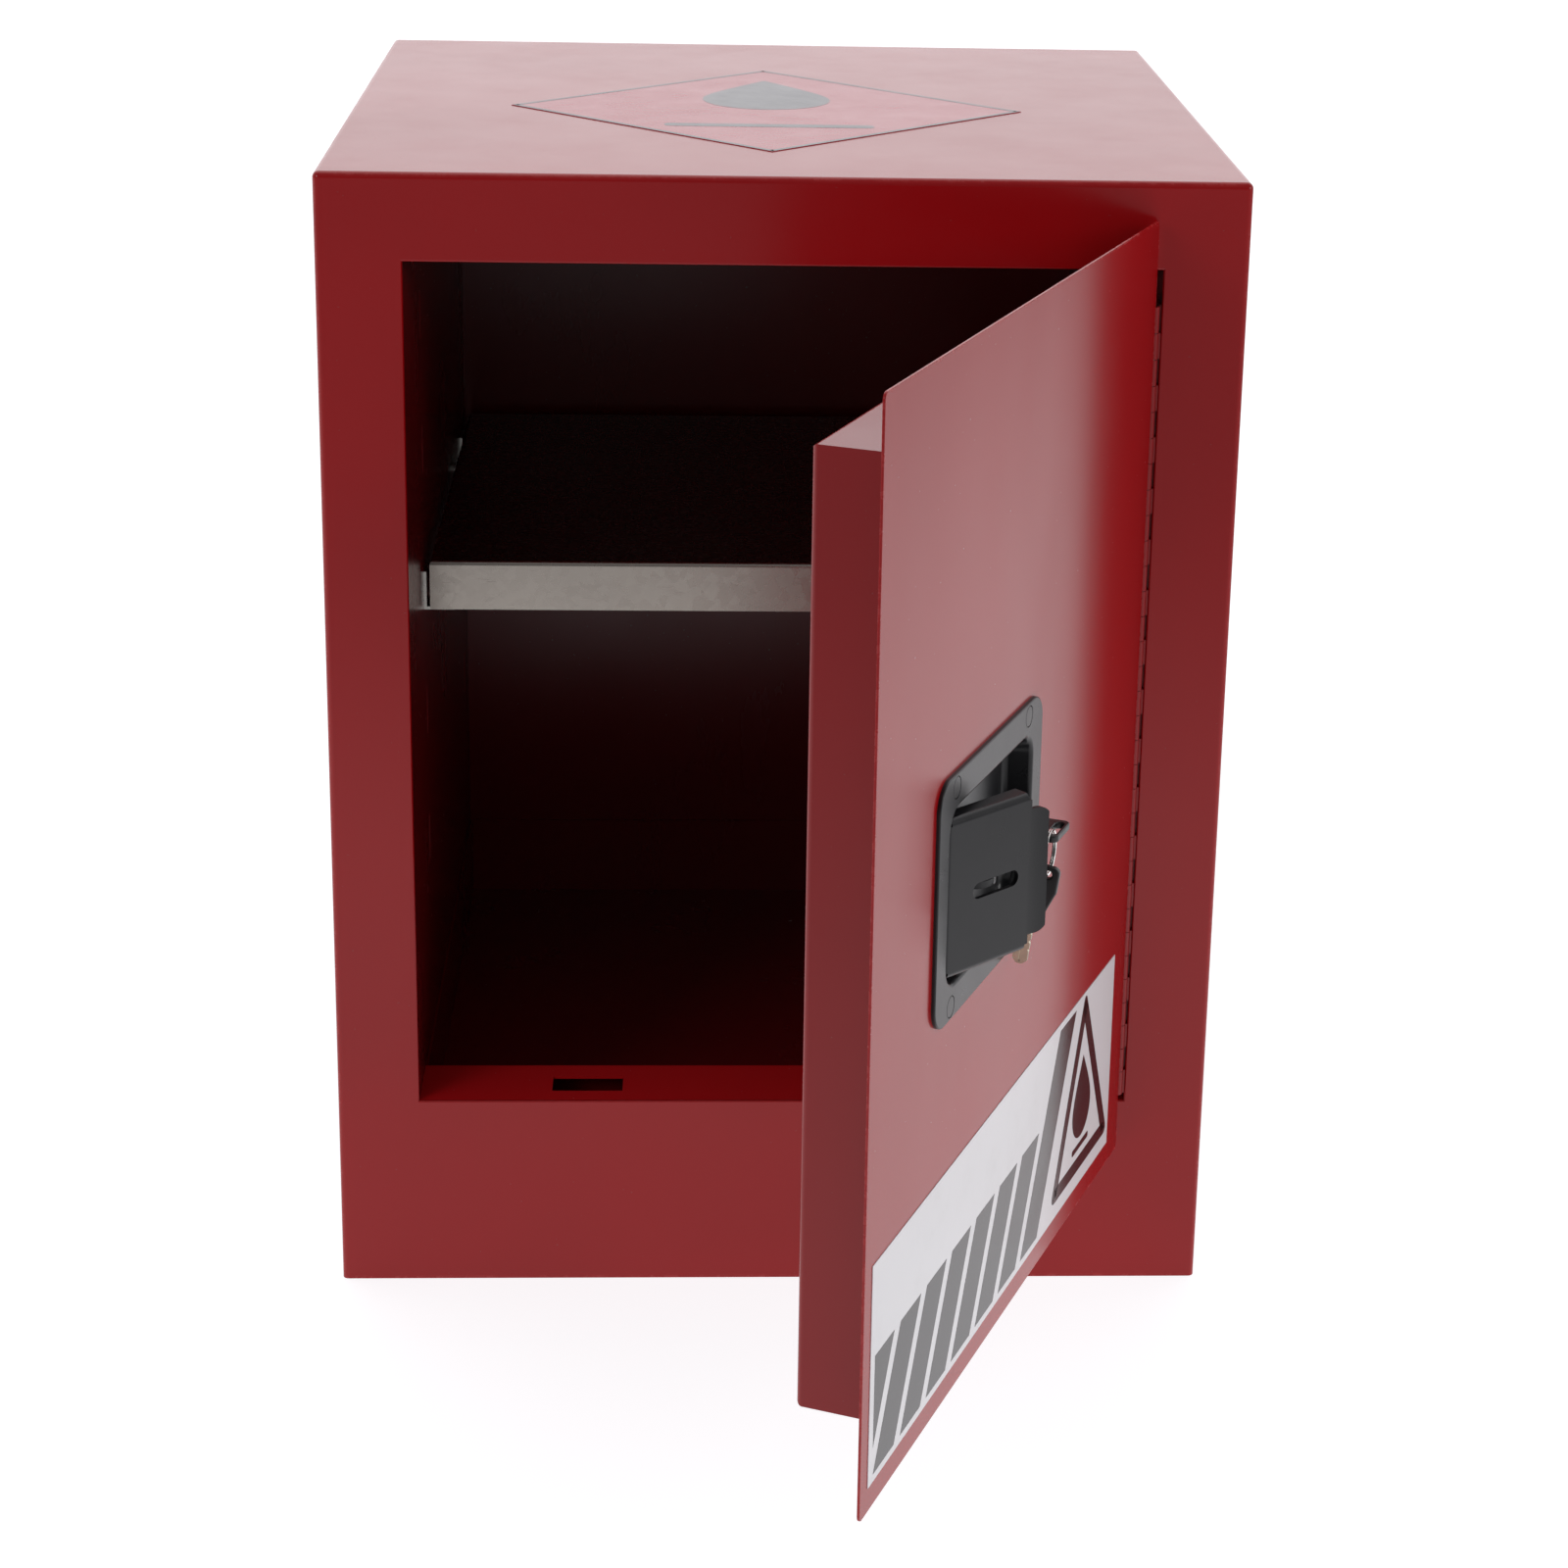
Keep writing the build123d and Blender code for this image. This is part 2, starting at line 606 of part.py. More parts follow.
def padlock_tab():
    """Half-round tab that stands through the paddle's slot and takes a padlock."""
    u = paddle_pivot_u - paddle_slot_start - paddle_slot_length / 2
    tip_v = dish_face_v - tab_height
    centre_v = tip_v + tab_radius
    half = tab_thickness / 2
    disc = rod_z(tab_radius, -u, centre_v, latch_z - half, latch_z + half)
    stem = door_block(u - tab_radius, u + tab_radius, centre_v, dish_floor_v, latch_z - half, latch_z + half)
    disc -= door_block(u - 15, u + 15, centre_v, centre_v + 15, latch_z - 9, latch_z + 9)
    hole = rod_z(tab_hole_radius, -u, tip_v + 2.2 + tab_hole_radius, latch_z - 9, latch_z + 9)
    return door_place * (disc + stem - hole)


def paddle_pin():
    """Upright pivot pin of the paddle, held in the dish walls."""
    half = dish_mouth_height / 2 + 2
    return door_place * rod_z(paddle_pin_radius, -paddle_pivot_u, paddle_pivot_v, latch_z - half,
                              latch_z + half)


def paddle_plate():
    """Pull paddle: flat plate with turned-down long edges, a rounded pull lip and two pivot barrels."""
    face = -paddle_face_offset
    back = face + paddle_thickness
    half = paddle_height / 2
    flat = block(0, paddle_flat, face, face + paddle_flange, -half, half)
    corners = flat.edges().filter_by(Axis.Y).group_by(Axis.X)[0]
    flat = fillet(corners, paddle_pivot_corner)
    rims = flat.edges().filter_by(Axis.X).group_by(Axis.Y)[0]
    flat = fillet(rims, 2.0)
    flat -= block(-1, paddle_flat + 1, back, face + paddle_flange + 1, -half + paddle_thickness,
                  half - paddle_thickness)
    tip = paddle_lip_height / 2
    with BuildPart() as lip_part:
        with BuildSketch(Plane.XZ.offset(-face)) as sketch:
            with BuildLine():
                Polyline((paddle_flat, -half + 3), (paddle_flat + 5, -half + 3), (paddle_flat + paddle_lip, -tip),
                         (paddle_flat + paddle_lip, tip), (paddle_flat + 5, half - 3), (paddle_flat, half - 3),
                         close=True)
            make_face()
            corners = sketch.vertices().group_by(Axis.X)[1:]
            fillet([vertex for group in corners for vertex in group], 5.0)
        extrude(amount=-paddle_thickness)
        extrude_edge = lip_part.edges().group_by(Axis.Y)[0].group_by(Axis.X)[1:]
        fillet([edge for group in extrude_edge for edge in group], 1.0)
    plate = flat + lip_part.part
    radius = paddle_barrel_radius
    for side in (-1, 1):
        z0 = side * (half - paddle_barrel_inset)
        z1 = side * (half - paddle_barrel_inset - paddle_barrel_length)
        barrel = rod_z(radius, 0, 0, min(z0, z1), max(z0, z1))
        web = block(0, radius, face + 1, 0, min(z0, z1), max(z0, z1))
        plate += barrel + web
    plate -= rod_z(paddle_pin_radius + paddle_pin_clearance, 0, 0, -half - 1, half + 1)
    slot_x = paddle_slot_start + paddle_slot_length / 2
    slot = Plane.XZ * Pos(slot_x, 0, 0) * SlotOverall(paddle_slot_length, paddle_slot_height)
    plate -= extrude(slot, amount=20, both=True)
    return paddle_place * plate


def paddle_arm():
    """Crank under the paddle that reaches through the dish floor to the rocker."""
    z = paddle_arm_rise
    half = paddle_arm_thickness / 2
    hub = rod_z(paddle_barrel_radius, 0, 0, z - half, z + half)
    lever = block(paddle_arm_back - paddle_arm_width, paddle_arm_back, 0, paddle_arm_reach, z - half, z + half)
    foot = block(0, 12, -paddle_face_offset + paddle_thickness, 1.5, z - half, z + half)
    arm = hub + lever + foot
    arm -= block(-10, 15, -10, -paddle_face_offset + paddle_thickness, z - half - 1, z + half + 1)
    arm -= rod_z(paddle_pin_radius + paddle_pin_clearance, 0, 0, z - half - 1, z + half + 1)
    return paddle_place * arm


def rocker_post():
    """Fixed post of the rocker, riveted in the dish floor."""
    v1 = rocker_v + rocker_thickness + 1.5
    post = rod_y(rocker_post_radius, -rocker_u, latch_z, dish_floor_v, v1)
    collar = rod_y(rocker_post_radius + 3, -rocker_u, latch_z, dish_floor_v + dish_wall, rocker_v - 0.3)
    return door_place * (post + collar)


def rocker_pin_points():
    """Local X of the rocker pins: first the upper rod's, then the lower rod's."""
    return (rocker_pin_reach, -rocker_pin_reach)


def rocker_plate():
    """Flat two-armed rocker with an upright finger that the paddle arm pushes."""
    v0, v1 = rocker_v, rocker_v + rocker_thickness
    plate = rod_y(rocker_hub_radius, 0, 0, v0, v1)
    plate += block(-rocker_pin_reach, rocker_pin_reach, v0, v1, -rocker_arm_radius, rocker_arm_radius)
    for x in rocker_pin_points():
        plate += rod_y(rocker_arm_radius, x, 0, v0, v1)
        plate += rod_y(rocker_pin_radius, x, 0, v0, v1 + strap_gap + strap_thickness + 1)
    plate += rod_y(rocker_finger_radius, 0, rocker_finger_reach, v0 - 1.6, v1)
    plate -= rod_y(rocker_post_radius + post_clearance, 0, 0, v0 - 1, v1 + 1)
    return rocker_place * plate


def strap(pin_u, pin_z, end_z):
    """Flat strap from a rocker pin to the end of a rod, with a cross slot for the pin."""
    v0, v1 = strap_v, strap_v + strap_thickness
    half = strap_width / 2
    low, high = min(pin_z - half, end_z), max(pin_z + half, end_z)
    leg = door_block(pin_u - half, pin_u + half, v0, v1, low, high)
    side = strap_width if end_z > pin_z else -strap_width
    z0, z1 = sorted((end_z, end_z + side))
    u0, u1 = sorted((pin_u, bolt_u))
    foot = door_block(u0 - half, u1 + half, v0, v1, z0, z1)
    wide = 2 * rocker_pin_radius + 5.0
    high_slot = 2 * (rocker_pin_radius + rocker_pin_slot_clearance)
    slot = Plane.XZ * Pos(-pin_u, pin_z, 0) * SlotOverall(wide, high_slot)
    slot = extrude(slot, amount=60, both=True)
    return leg + foot - slot


def rod_with_strap(upper):
    """Round rod with its strap; upper or lower."""
    sign = 1 if upper else -1
    local_x = rocker_pin_reach if upper else -rocker_pin_reach
    rest = math.radians(rocker_rest)
    pin_z = latch_z - local_x * math.sin(rest)
    mean_reach = rocker_pin_reach * (1 + math.cos(math.radians(rocker_half_swing))) / 2
    pin_u = rocker_u - sign * mean_reach
    end_z = latch_z + sign * strap_reach
    tip_z = upper_tip_z if upper else lower_tip_z
    far_z = tip_z - sign * bolt_length
    z0, z1 = sorted((end_z, far_z))
    rod = rod_z(rod_radius, -bolt_u, bolt_v, z0, z1)
    return door_place * (rod + strap(pin_u, pin_z, end_z))


def bolt(upper):
    """Latch bolt on the end of a rod, with a chamfered tip."""
    sign = 1 if upper else -1
    tip_z = upper_tip_z if upper else lower_tip_z
    z0, z1 = sorted((tip_z, tip_z - sign * bolt_length))
    body = rod_z(bolt_radius, -bolt_u, bolt_v, z0, z1)
    rim = body.edges().sort_by(Axis.Z)[-1 if upper else 0]
    return door_place * chamfer(rim, bolt_tip_chamfer)


def guide_height(sign):
    """Underside of the upper (+1) or lower (-1) rod guide."""
    return pan_top - guide_inset if sign > 0 else pan_bottom + guide_inset


def rod_guides():
    """Two angle brackets on the door pan that guide the rods."""
    guides = []
    for sign in (-1, 1):
        z = guide_height(sign)
        u0, u1 = bolt_u - guide_width / 2, bolt_u + guide_width / 2
        tongue = door_block(u0, u1, bolt_v - 9, pan_inside_v, z, z + guide_thickness)
        foot = door_block(u0, u1, pan_inside_v - 2, pan_inside_v, z, z + guide_foot)
        guide = tongue + foot
        guide -= rod_z(rod_radius + bolt_hole_clearance, -bolt_u, bolt_v, z - 1, z + guide_thickness + 1)
        for x in (-bolt_u - guide_rivet_offset, -bolt_u + guide_rivet_offset):
            guide -= rod_y(guide_rivet_radius, x, z + guide_rivet_rise, pan_inside_v - 3, pan_inside_v + 1)
        guides.append(door_place * guide)
    return Compound(children=guides)


def guide_rivets():
    """Rivets of the rod guides, with heads on the inner side."""
    rivets = []
    for sign in (-1, 1):
        z = guide_height(sign) + guide_rivet_rise
        for x in (-bolt_u - guide_rivet_offset, -bolt_u + guide_rivet_offset):
            shank = rod_y(guide_rivet_radius, x, z, pan_inside_v - 2, pan_inside_v)
            head = rod_y(guide_rivet_radius + 1.4, x, z, pan_inside_v - 3.2, pan_inside_v - 2)
            rivets.append(door_place * (shank + head))
    return Compound(children=rivets)


def lock_housing():
    """Cylinder lock body with a front flange, standing on the dish floor."""
    body = rod_y(lock_housing_radius, 0, 0, lock_face_v, lock_face_v + lock_length)
    flange = rod_y(lock_flange_radius, 0, 0, lock_face_v, dish_floor_v)
    rim = flange.edges().group_by(Axis.Y)[0]
    flange = fillet(rim, 1.0)
    bore = rod_y(plug_radius + plug_clearance, 0, 0, lock_face_v - 1, lock_face_v + lock_length + 1)
    return lock_place * (flange + body - bore)


def lock_nut():
    """Hexagon nut that clamps the lock to the dish."""
    v0 = dish_floor_v + dish_wall
    outline = Plane.XZ.offset(-v0) * RegularPolygon(lock_nut_width / 2, 6, major_radius=False)
    nut = extrude(outline, amount=-lock_nut_thickness)
    return lock_place * (nut - rod_y(lock_housing_radius, 0, 0, v0 - 1, v0 + 9))


def keyway(depth):
    """Space of the key blade in the plug."""
    wide = blade_width / 2 + keyway_clearance
    thick = blade_thickness / 2 + keyway_clearance
    return block(-wide, wide, lock_face_v - 2, lock_face_v + depth, -thick, thick)


def lock_plug():
    """Turning plug of the lock with its keyway."""
    v1 = lock_face_v + lock_length + 1.0
    plug = rod_y(plug_radius, 0, 0, lock_face_v + 0.3, v1)
    plug += block(-3, 3, v1, v1 + cam_thickness, -3, 3)
    return lock_place * (plug - keyway(blade_length - 2))


def lock_cam():
    """Cam lever on the square end of the plug."""
    v0 = lock_face_v + lock_length + 1.0
    v1 = v0 + cam_thickness
    cam = rod_y(cam_width / 2 + 1, 0, 0, v0, v1)
    cam += block(-cam_width / 2, cam_width / 2, v0, v1, -cam_length, 0)
    return lock_place * (cam - block(-3, 3, v0 - 1, v1 + 1, -3, 3))


def cam_screw():
    """Screw that keeps the cam on the plug."""
    v0 = lock_face_v + lock_length + 1.0 + cam_thickness
    return lock_place * rod_y(4.5, 0, 0, v0, v0 + 2.0)


def bow_outline():
    """Outline of a key bow: outer end at y = 0, foot at y = bow_height."""
    half = bow_width / 2
    foot = bow_foot_width / 2
    return Polyline((-half, 0), (half, 0), (half, bow_taper_start), (foot, bow_height), (-foot, bow_height),
                    (-half, bow_taper_start), close=True)


def key_bow():
    """Moulded key bow in the XY plane, with the ring slot near its outer end and a blade socket."""
    with BuildPart() as bow:
        with BuildSketch() as sketch:
            with BuildLine():
                bow_outline()
            make_face()
            fillet(sketch.vertices().group_by(Axis.Y)[0], bow_corner_radius)
            with Locations((0, bow_slot_inset)):
                SlotOverall(bow_slot_length, bow_slot_width, mode=Mode.SUBTRACT)
        extrude(amount=bow_thickness / 2, both=True)
        fillet(bow.edges().filter_by(Plane.XY), bow_edge_radius)
    wide = blade_width / 2 + tang_clearance
    thick = blade_thickness / 2 + tang_clearance
    socket = block(-wide, wide, bow_height - blade_tang - tang_clearance, bow_height + 1, -thick, thick)
    return bow.part - socket


def key_blade():
    """Flat key blade with a groove on both faces and cuts on both edges, tip at +Y."""
    half = blade_width / 2
    y0 = bow_height - blade_tang
    y1 = bow_height + blade_length
    with BuildPart() as blade:
        with BuildSketch() as sketch:
            with BuildLine():
                Polyline((-half, y0), (half, y0), (half, y1 - 2), (half - 2, y1), (-half + 2, y1), (-half, y1 - 2),
                         close=True)
            make_face()
        extrude(amount=blade_thickness / 2, both=True)
    solid = blade.part
    for face in (-1, 1):
        z = face * (blade_thickness / 2)
        solid -= block(-groove_width / 2, groove_width / 2, bow_height + 1, y1 - 1, z - groove_depth, z + groove_depth)
    for index, y in enumerate((5.0, 9.0, 13.0, 17.0)):
        depth = bitting_depth * (0.6 if index % 2 else 1.0)
        for side in (-1, 1):
            notch = Pos(side * (half + 1.2 - depth * 0.5), bow_height + y, 0) * Rot(0, 0, 45)
            solid -= notch * Box(2.0, 2.0, 9)
    return solid


def inserted_key_place():
    """Place of the key in the lock, blade inwards and bow level."""
    return lock_place * Pos(0, bow_outer_v, 0)


def key_ring():
    """Split ring, drawn as one flat band."""
    outer = ring_inner_radius + ring_radial
    half = ring_axial / 2
    band = rod_y(outer, 0, 0, -half, half) - rod_y(ring_inner_radius, 0, 0, -half - 1, half + 1)
    rims = band.edges().filter_by(GeomType.CIRCLE)
    return ring_place * fillet(rims, 0.4)


def spare_key_place():
    """Place of the spare key, hung by one end of its slot from the lowest point of the ring."""
    wire = Pos(0, 0, -ring_inner_radius - ring_radial / 2)
    hang_x = bow_slot_length / 2 - bow_slot_width / 2
    upright = Rot(0, 0, 90) * Rot(90, 0, 0) * Rot(0, 0, 180)
    return ring_place * wire * Rot(-spare_tilt, 0, 0) * upright * Pos(-hang_x, -bow_slot_inset, 0)


def earth_stud():
    """Earthing stud through the outer back, head inside."""
    back = -front_y
    nut_face = back + washer_thickness + nut_thickness
    shank = rod_y(stud_radius, stud_x, stud_z, back - sheet, nut_face)
    shank += rod_y(stud_free_radius, stud_x, stud_z, nut_face, back + stud_length)
    head = rod_y(stud_head_radius, stud_x, stud_z, back - sheet - stud_head_thickness, back - sheet)
    return shank + head


def earth_washer():
    """Plain washer on the earthing stud."""
    y0 = -front_y
    y1 = y0 + washer_thickness
    return rod_y(washer_radius, stud_x, stud_z, y0, y1) - rod_y(
        stud_radius + thread_clearance, stud_x, stud_z, y0 - 1, y1 + 1)


def earth_nut():
    """Hexagon nut on the earthing stud."""
    y0 = -front_y + washer_thickness
    outline = Plane.XZ.offset(-y0) * RegularPolygon(nut_across_flats / 2, 6, major_radius=False)
    nut = Pos(stud_x, 0, stud_z) * extrude(outline, amount=-nut_thickness)
    return nut - rod_y(stud_radius + thread_clearance, stud_x, stud_z, y0 - 1, y0 + nut_thickness + 1)


parts = {
    "outer_shell": outer_shell,
    "rear_panel": rear_panel,
    "base_panel": base_panel,
    "tray_bearers": tray_bearers,
    "inner_liner": inner_liner,
    "inner_back": inner_back,
    "sump_tray": sump_tray,
    "sill_plate": sill_plate,
    "shelf_clips": shelf_clips,
    "shelf": shelf,
    "hinge_frame_leaf": hinge_frame_leaf,
    "hinge_pin": hinge_pin,
    "top_label": top_label,
    "earth_stud": earth_stud,
    "earth_washer": earth_washer,
    "earth_nut": earth_nut,
    "door_skin": door_skin,
    "door_pan": door_pan,
    "door_stiffener": door_stiffener,
    "hinge_door_leaf": hinge_door_leaf,
    "door_label": door_label,
    "latch_dish": latch_dish,
    "dish_rivets": dish_rivets,
    "padlock_tab": padlock_tab,
    "paddle_pin": paddle_pin,
    "rocker_post": rocker_post,
    "rod_guides": rod_guides,
    "guide_rivets": guide_rivets,
    "lock_housing": lock_housing,
    "lock_nut": lock_nut,
    "paddle_plate": paddle_plate,
    "paddle_arm": paddle_arm,
    "rocker_plate": rocker_plate,
    "upper_rod": lambda: rod_with_strap(True),
    "upper_bolt_tip": lambda: bolt(True),
    "lower_rod": lambda: rod_with_strap(False),
    "lower_bolt_tip": lambda: bolt(False),
    "lock_plug": lock_plug,
    "lock_cam": lock_cam,
    "cam_screw": cam_screw,
    "key_bow": lambda: inserted_key_place() * key_bow(),
    "key_blade": lambda: inserted_key_place() * key_blade(),
    "key_ring": key_ring,
    "spare_key_bow": lambda: spare_key_place() * key_bow(),
    "spare_key_blade": lambda: spare_key_place() * key_blade(),
}

os.makedirs("parts", exist_ok=True)
for name, make in parts.items():
    export_step(make(), f"parts/{name}.step")
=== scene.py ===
"""Looks of a small flammable storage cabinet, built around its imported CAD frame.

Lengths are metres in the frame's own axes: +Z up, front face toward -Y, hinge on the +X side.
"""
import json
import logging
import math
from dataclasses import dataclass
from enum import Enum
from typing import Any, Callable, Sequence

import bpy
from mathutils import Matrix, Vector


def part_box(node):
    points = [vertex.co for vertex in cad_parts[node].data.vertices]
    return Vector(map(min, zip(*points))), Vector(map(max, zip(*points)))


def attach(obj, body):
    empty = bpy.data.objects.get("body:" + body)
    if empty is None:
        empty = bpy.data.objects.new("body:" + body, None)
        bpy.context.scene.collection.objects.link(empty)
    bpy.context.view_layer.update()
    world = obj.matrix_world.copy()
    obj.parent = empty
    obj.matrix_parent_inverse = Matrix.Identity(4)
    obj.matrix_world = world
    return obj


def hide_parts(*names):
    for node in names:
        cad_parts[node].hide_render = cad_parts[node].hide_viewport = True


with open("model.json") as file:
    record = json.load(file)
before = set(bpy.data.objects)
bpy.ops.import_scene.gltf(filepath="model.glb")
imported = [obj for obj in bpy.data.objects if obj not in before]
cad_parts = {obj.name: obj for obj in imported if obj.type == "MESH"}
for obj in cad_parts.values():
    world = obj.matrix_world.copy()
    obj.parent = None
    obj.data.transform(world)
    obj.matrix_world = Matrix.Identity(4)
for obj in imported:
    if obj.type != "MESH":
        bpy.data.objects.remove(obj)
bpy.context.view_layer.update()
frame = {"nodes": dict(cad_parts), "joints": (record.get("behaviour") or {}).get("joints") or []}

LOG = logging.getLogger("cabinet")
MM = 0.001
HAIR = 0.01 * MM
CLEAR = 10.0 * MM
UPRIGHT = (math.pi / 2, 0.0, 0.0)

Colour = tuple[float, float, float]
Test = Callable[[Vector, Vector], bool]
CORNERS = [(side, end) for side in (-1, 1) for end in (-1, 1)]


# ------------------------------------------------------------------ shader maths
class Signal:
    """An output socket that takes part in Python arithmetic."""

    def __init__(self, graph: "Graph", socket: bpy.types.NodeSocket) -> None:
        """Wraps a socket.

        Args:
            graph: the graph that the socket's node belongs to.
            socket: the output socket.
        """
        self.graph = graph
        self.socket = socket

    def _math(self, operation: str, first: Any, second: Any = 0.0) -> "Signal":
        """Adds one Math node.

        Args:
            operation: the node's operation.
            first: its first value or signal.
            second: its second value or signal.

        Returns:
            The node's result.
        """
        return self.graph.node("ShaderNodeMath", {"operation": operation}, {0: first, 1: second})

    def __add__(self, other: Any) -> "Signal":
        """Sum."""
        return self._math("ADD", self, other)

    __radd__ = __add__

    def __sub__(self, other: Any) -> "Signal":
        """Difference."""
        return self._math("SUBTRACT", self, other)

    def __rsub__(self, other: Any) -> "Signal":
        """Reflected difference."""
        return self._math("SUBTRACT", other, self)

    def __mul__(self, other: Any) -> "Signal":
        """Product."""
        return self._math("MULTIPLY", self, other)

    __rmul__ = __mul__

    def __pow__(self, other: Any) -> "Signal":
        """Power."""
        return self._math("POWER", self, other)

    def least(self, other: Any) -> "Signal":
        """The smaller of the two."""
        return self._math("MINIMUM", self, other)

    def most(self, other: Any) -> "Signal":
        """The larger of the two."""
        return self._math("MAXIMUM", self, other)

    def above(self, low: float, high: float) -> "Signal":
        """A smooth step.

        Args:
            low: where it starts to rise from 0.
            high: where it reaches 1.

        Returns:
            The step, 0 to 1.
        """
        return self.graph.node("ShaderNodeMapRange", {"interpolation_type": "SMOOTHSTEP"},
                               {0: self, 1: low, 2: high, 3: 0.0, 4: 1.0})


class Graph:
    """The node tree of one material or world."""

    def __init__(self, owner: Any) -> None:
        """Starts an empty tree.

        Args:
            owner: the material or world.
        """
        owner.use_nodes = True
        self.tree = owner.node_tree
        self.tree.nodes.clear()

    def node(self, kind: str, settings: dict[str, Any] | None = None, inputs: dict[Any, Any] | None = None,
             output: int | str = 0) -> Signal:
        """Adds a node, sets it and links it.

        Args:
            kind: the node's type.
            settings: properties set first; "stops" gives a ramp's (place, colour) pairs.
            inputs: values or signals of its sockets, by name or number.
            output: the output to return.

        Returns:
            That output.
        """
        made = self.tree.nodes.new(kind)
        for key, value in (settings or {}).items():
            if key == "stops":
                for index, (place, colour) in enumerate(value):
                    ramp = made.color_ramp.elements
                    stop = ramp[index] if index < 2 else ramp.new(place)
                    stop.position = place
                    stop.color = colour
            else:
                setattr(made, key, value)
        for key, value in (inputs or {}).items():
            socket = made.inputs[key]
            if isinstance(value, Signal):
                self.tree.links.new(value.socket, socket)
            elif isinstance(value, tuple) and len(value) == 3 and socket.type == "RGBA":
                socket.default_value = (*value, 1.0)
            else:
                socket.default_value = value
        return Signal(self, made.outputs[output] if made.outputs else None)

    def axis(self, vector: Signal, number: int) -> Signal:
        """One component of a vector."""
        return self.node("ShaderNodeSeparateXYZ", {}, {0: vector}, number)

    def mix(self, factor: Any, first: Any, second: Any) -> Signal:
        """Blends two colours.

        Args:
            factor: 0 gives the first, 1 the second.
            first: colour or signal.
            second: colour or signal.

        Returns:
            The blend.
        """
        return self.node("ShaderNodeMix", {"data_type": "RGBA"}, {0: factor, 6: first, 7: second}, 2)

    def place(self, turn: float = 0.0, shift: Sequence[float] = (0, 0, 0),
              stretch: Sequence[float] = (1, 1, 1)) -> Signal:
        """Object coordinates, turned about Z, shifted and stretched.

        Args:
            turn: radians about Z.
            shift: added after the turn.
            stretch: scale of each axis before the turn.

        Returns:
            The coordinates.
        """
        raw = self.node("ShaderNodeTexCoord", output="Object")
        return self.node("ShaderNodeMapping", {},
                         {0: raw, 1: tuple(shift), 2: (0.0, 0.0, turn), 3: tuple(stretch)})

    def noise(self, at: Signal, scale: float, detail: float = 2.0, rough: float = 0.5) -> Signal:
        """Fractal noise, about 0.5 on average.

        Args:
            at: coordinates.
            scale: features per metre.
            detail: octaves.
            rough: strength of the finer octaves.

        Returns:
            The noise value.
        """
        return self.node("ShaderNodeTexNoise", {},
                         {"Vector": at, "Scale": scale, "Detail": detail, "Roughness": rough})

    def bump(self, height: Signal, distance: float, strength: float = 1.0,
             under: Signal | None = None) -> Signal:
        """Turns a height into a normal.

        Args:
            height: the height signal.
            distance: metres that a height of 1 stands for.
            strength: how much of it shows.
            under: a normal to build on.

        Returns:
            The normal.
        """
        inputs: dict[Any, Any] = {"Height": height, "Distance": distance, "Strength": strength}
        if under is not None:
            inputs["Normal"] = under
        return self.node("ShaderNodeBump", {}, inputs)

    def surface(self, inputs: dict[str, Any]) -> None:
        """Ends the tree in a Principled surface.

        Args:
            inputs: its sockets' values or signals.
        """
        shader = self.node("ShaderNodeBsdfPrincipled", {}, inputs)
        self.node("ShaderNodeOutputMaterial", {}, {0: shader})


# ------------------------------------------------------------------ finishes
@dataclass(frozen=True)
class EdgeBox:
    """A box whose edges catch wear and a painted edge highlight, in the finish's own coordinates."""

    low: Colour
    high: Colour
    reach: float = 0.0025

    def mask(self, graph: Graph, at: Signal) -> Signal:
        """Wear and painted highlight near the edges.

        Args:
            graph: the material's graph.
            at: coordinates.

        Returns:
            1 on the edges and 0 away from them.
        """
        gaps = []
        for axis in range(3):
            value = graph.axis(at, axis)
            gaps.append((value - self.low[axis]).least(self.high[axis] - value))
        total = gaps[0] + gaps[1] + gaps[2]
        smallest = gaps[0].least(gaps[1]).least(gaps[2])
        largest = gaps[0].most(gaps[1]).most(gaps[2])
        return 1.0 - (total - smallest - largest).above(self.reach * 0.2, self.reach)


def shade(colour: Colour, factor: float) -> Colour:
    """A darker or lighter version of a colour."""
    return tuple(channel * factor for channel in colour)


@dataclass(frozen=True)
class Finish:
    """Common ground of all finishes: a name and a made-once material."""

    name: str

    def build(self, graph: Graph) -> None:
        """Fills the material's tree; each finish has its own."""
        raise NotImplementedError

    def material(self) -> bpy.types.Material:
        """The finish's material, made on first use.

        Returns:
            The material.
        """
        found = bpy.data.materials.get(self.name)
        if found is None:
            found = bpy.data.materials.new(self.name)
            self.build(Graph(found))
        return found


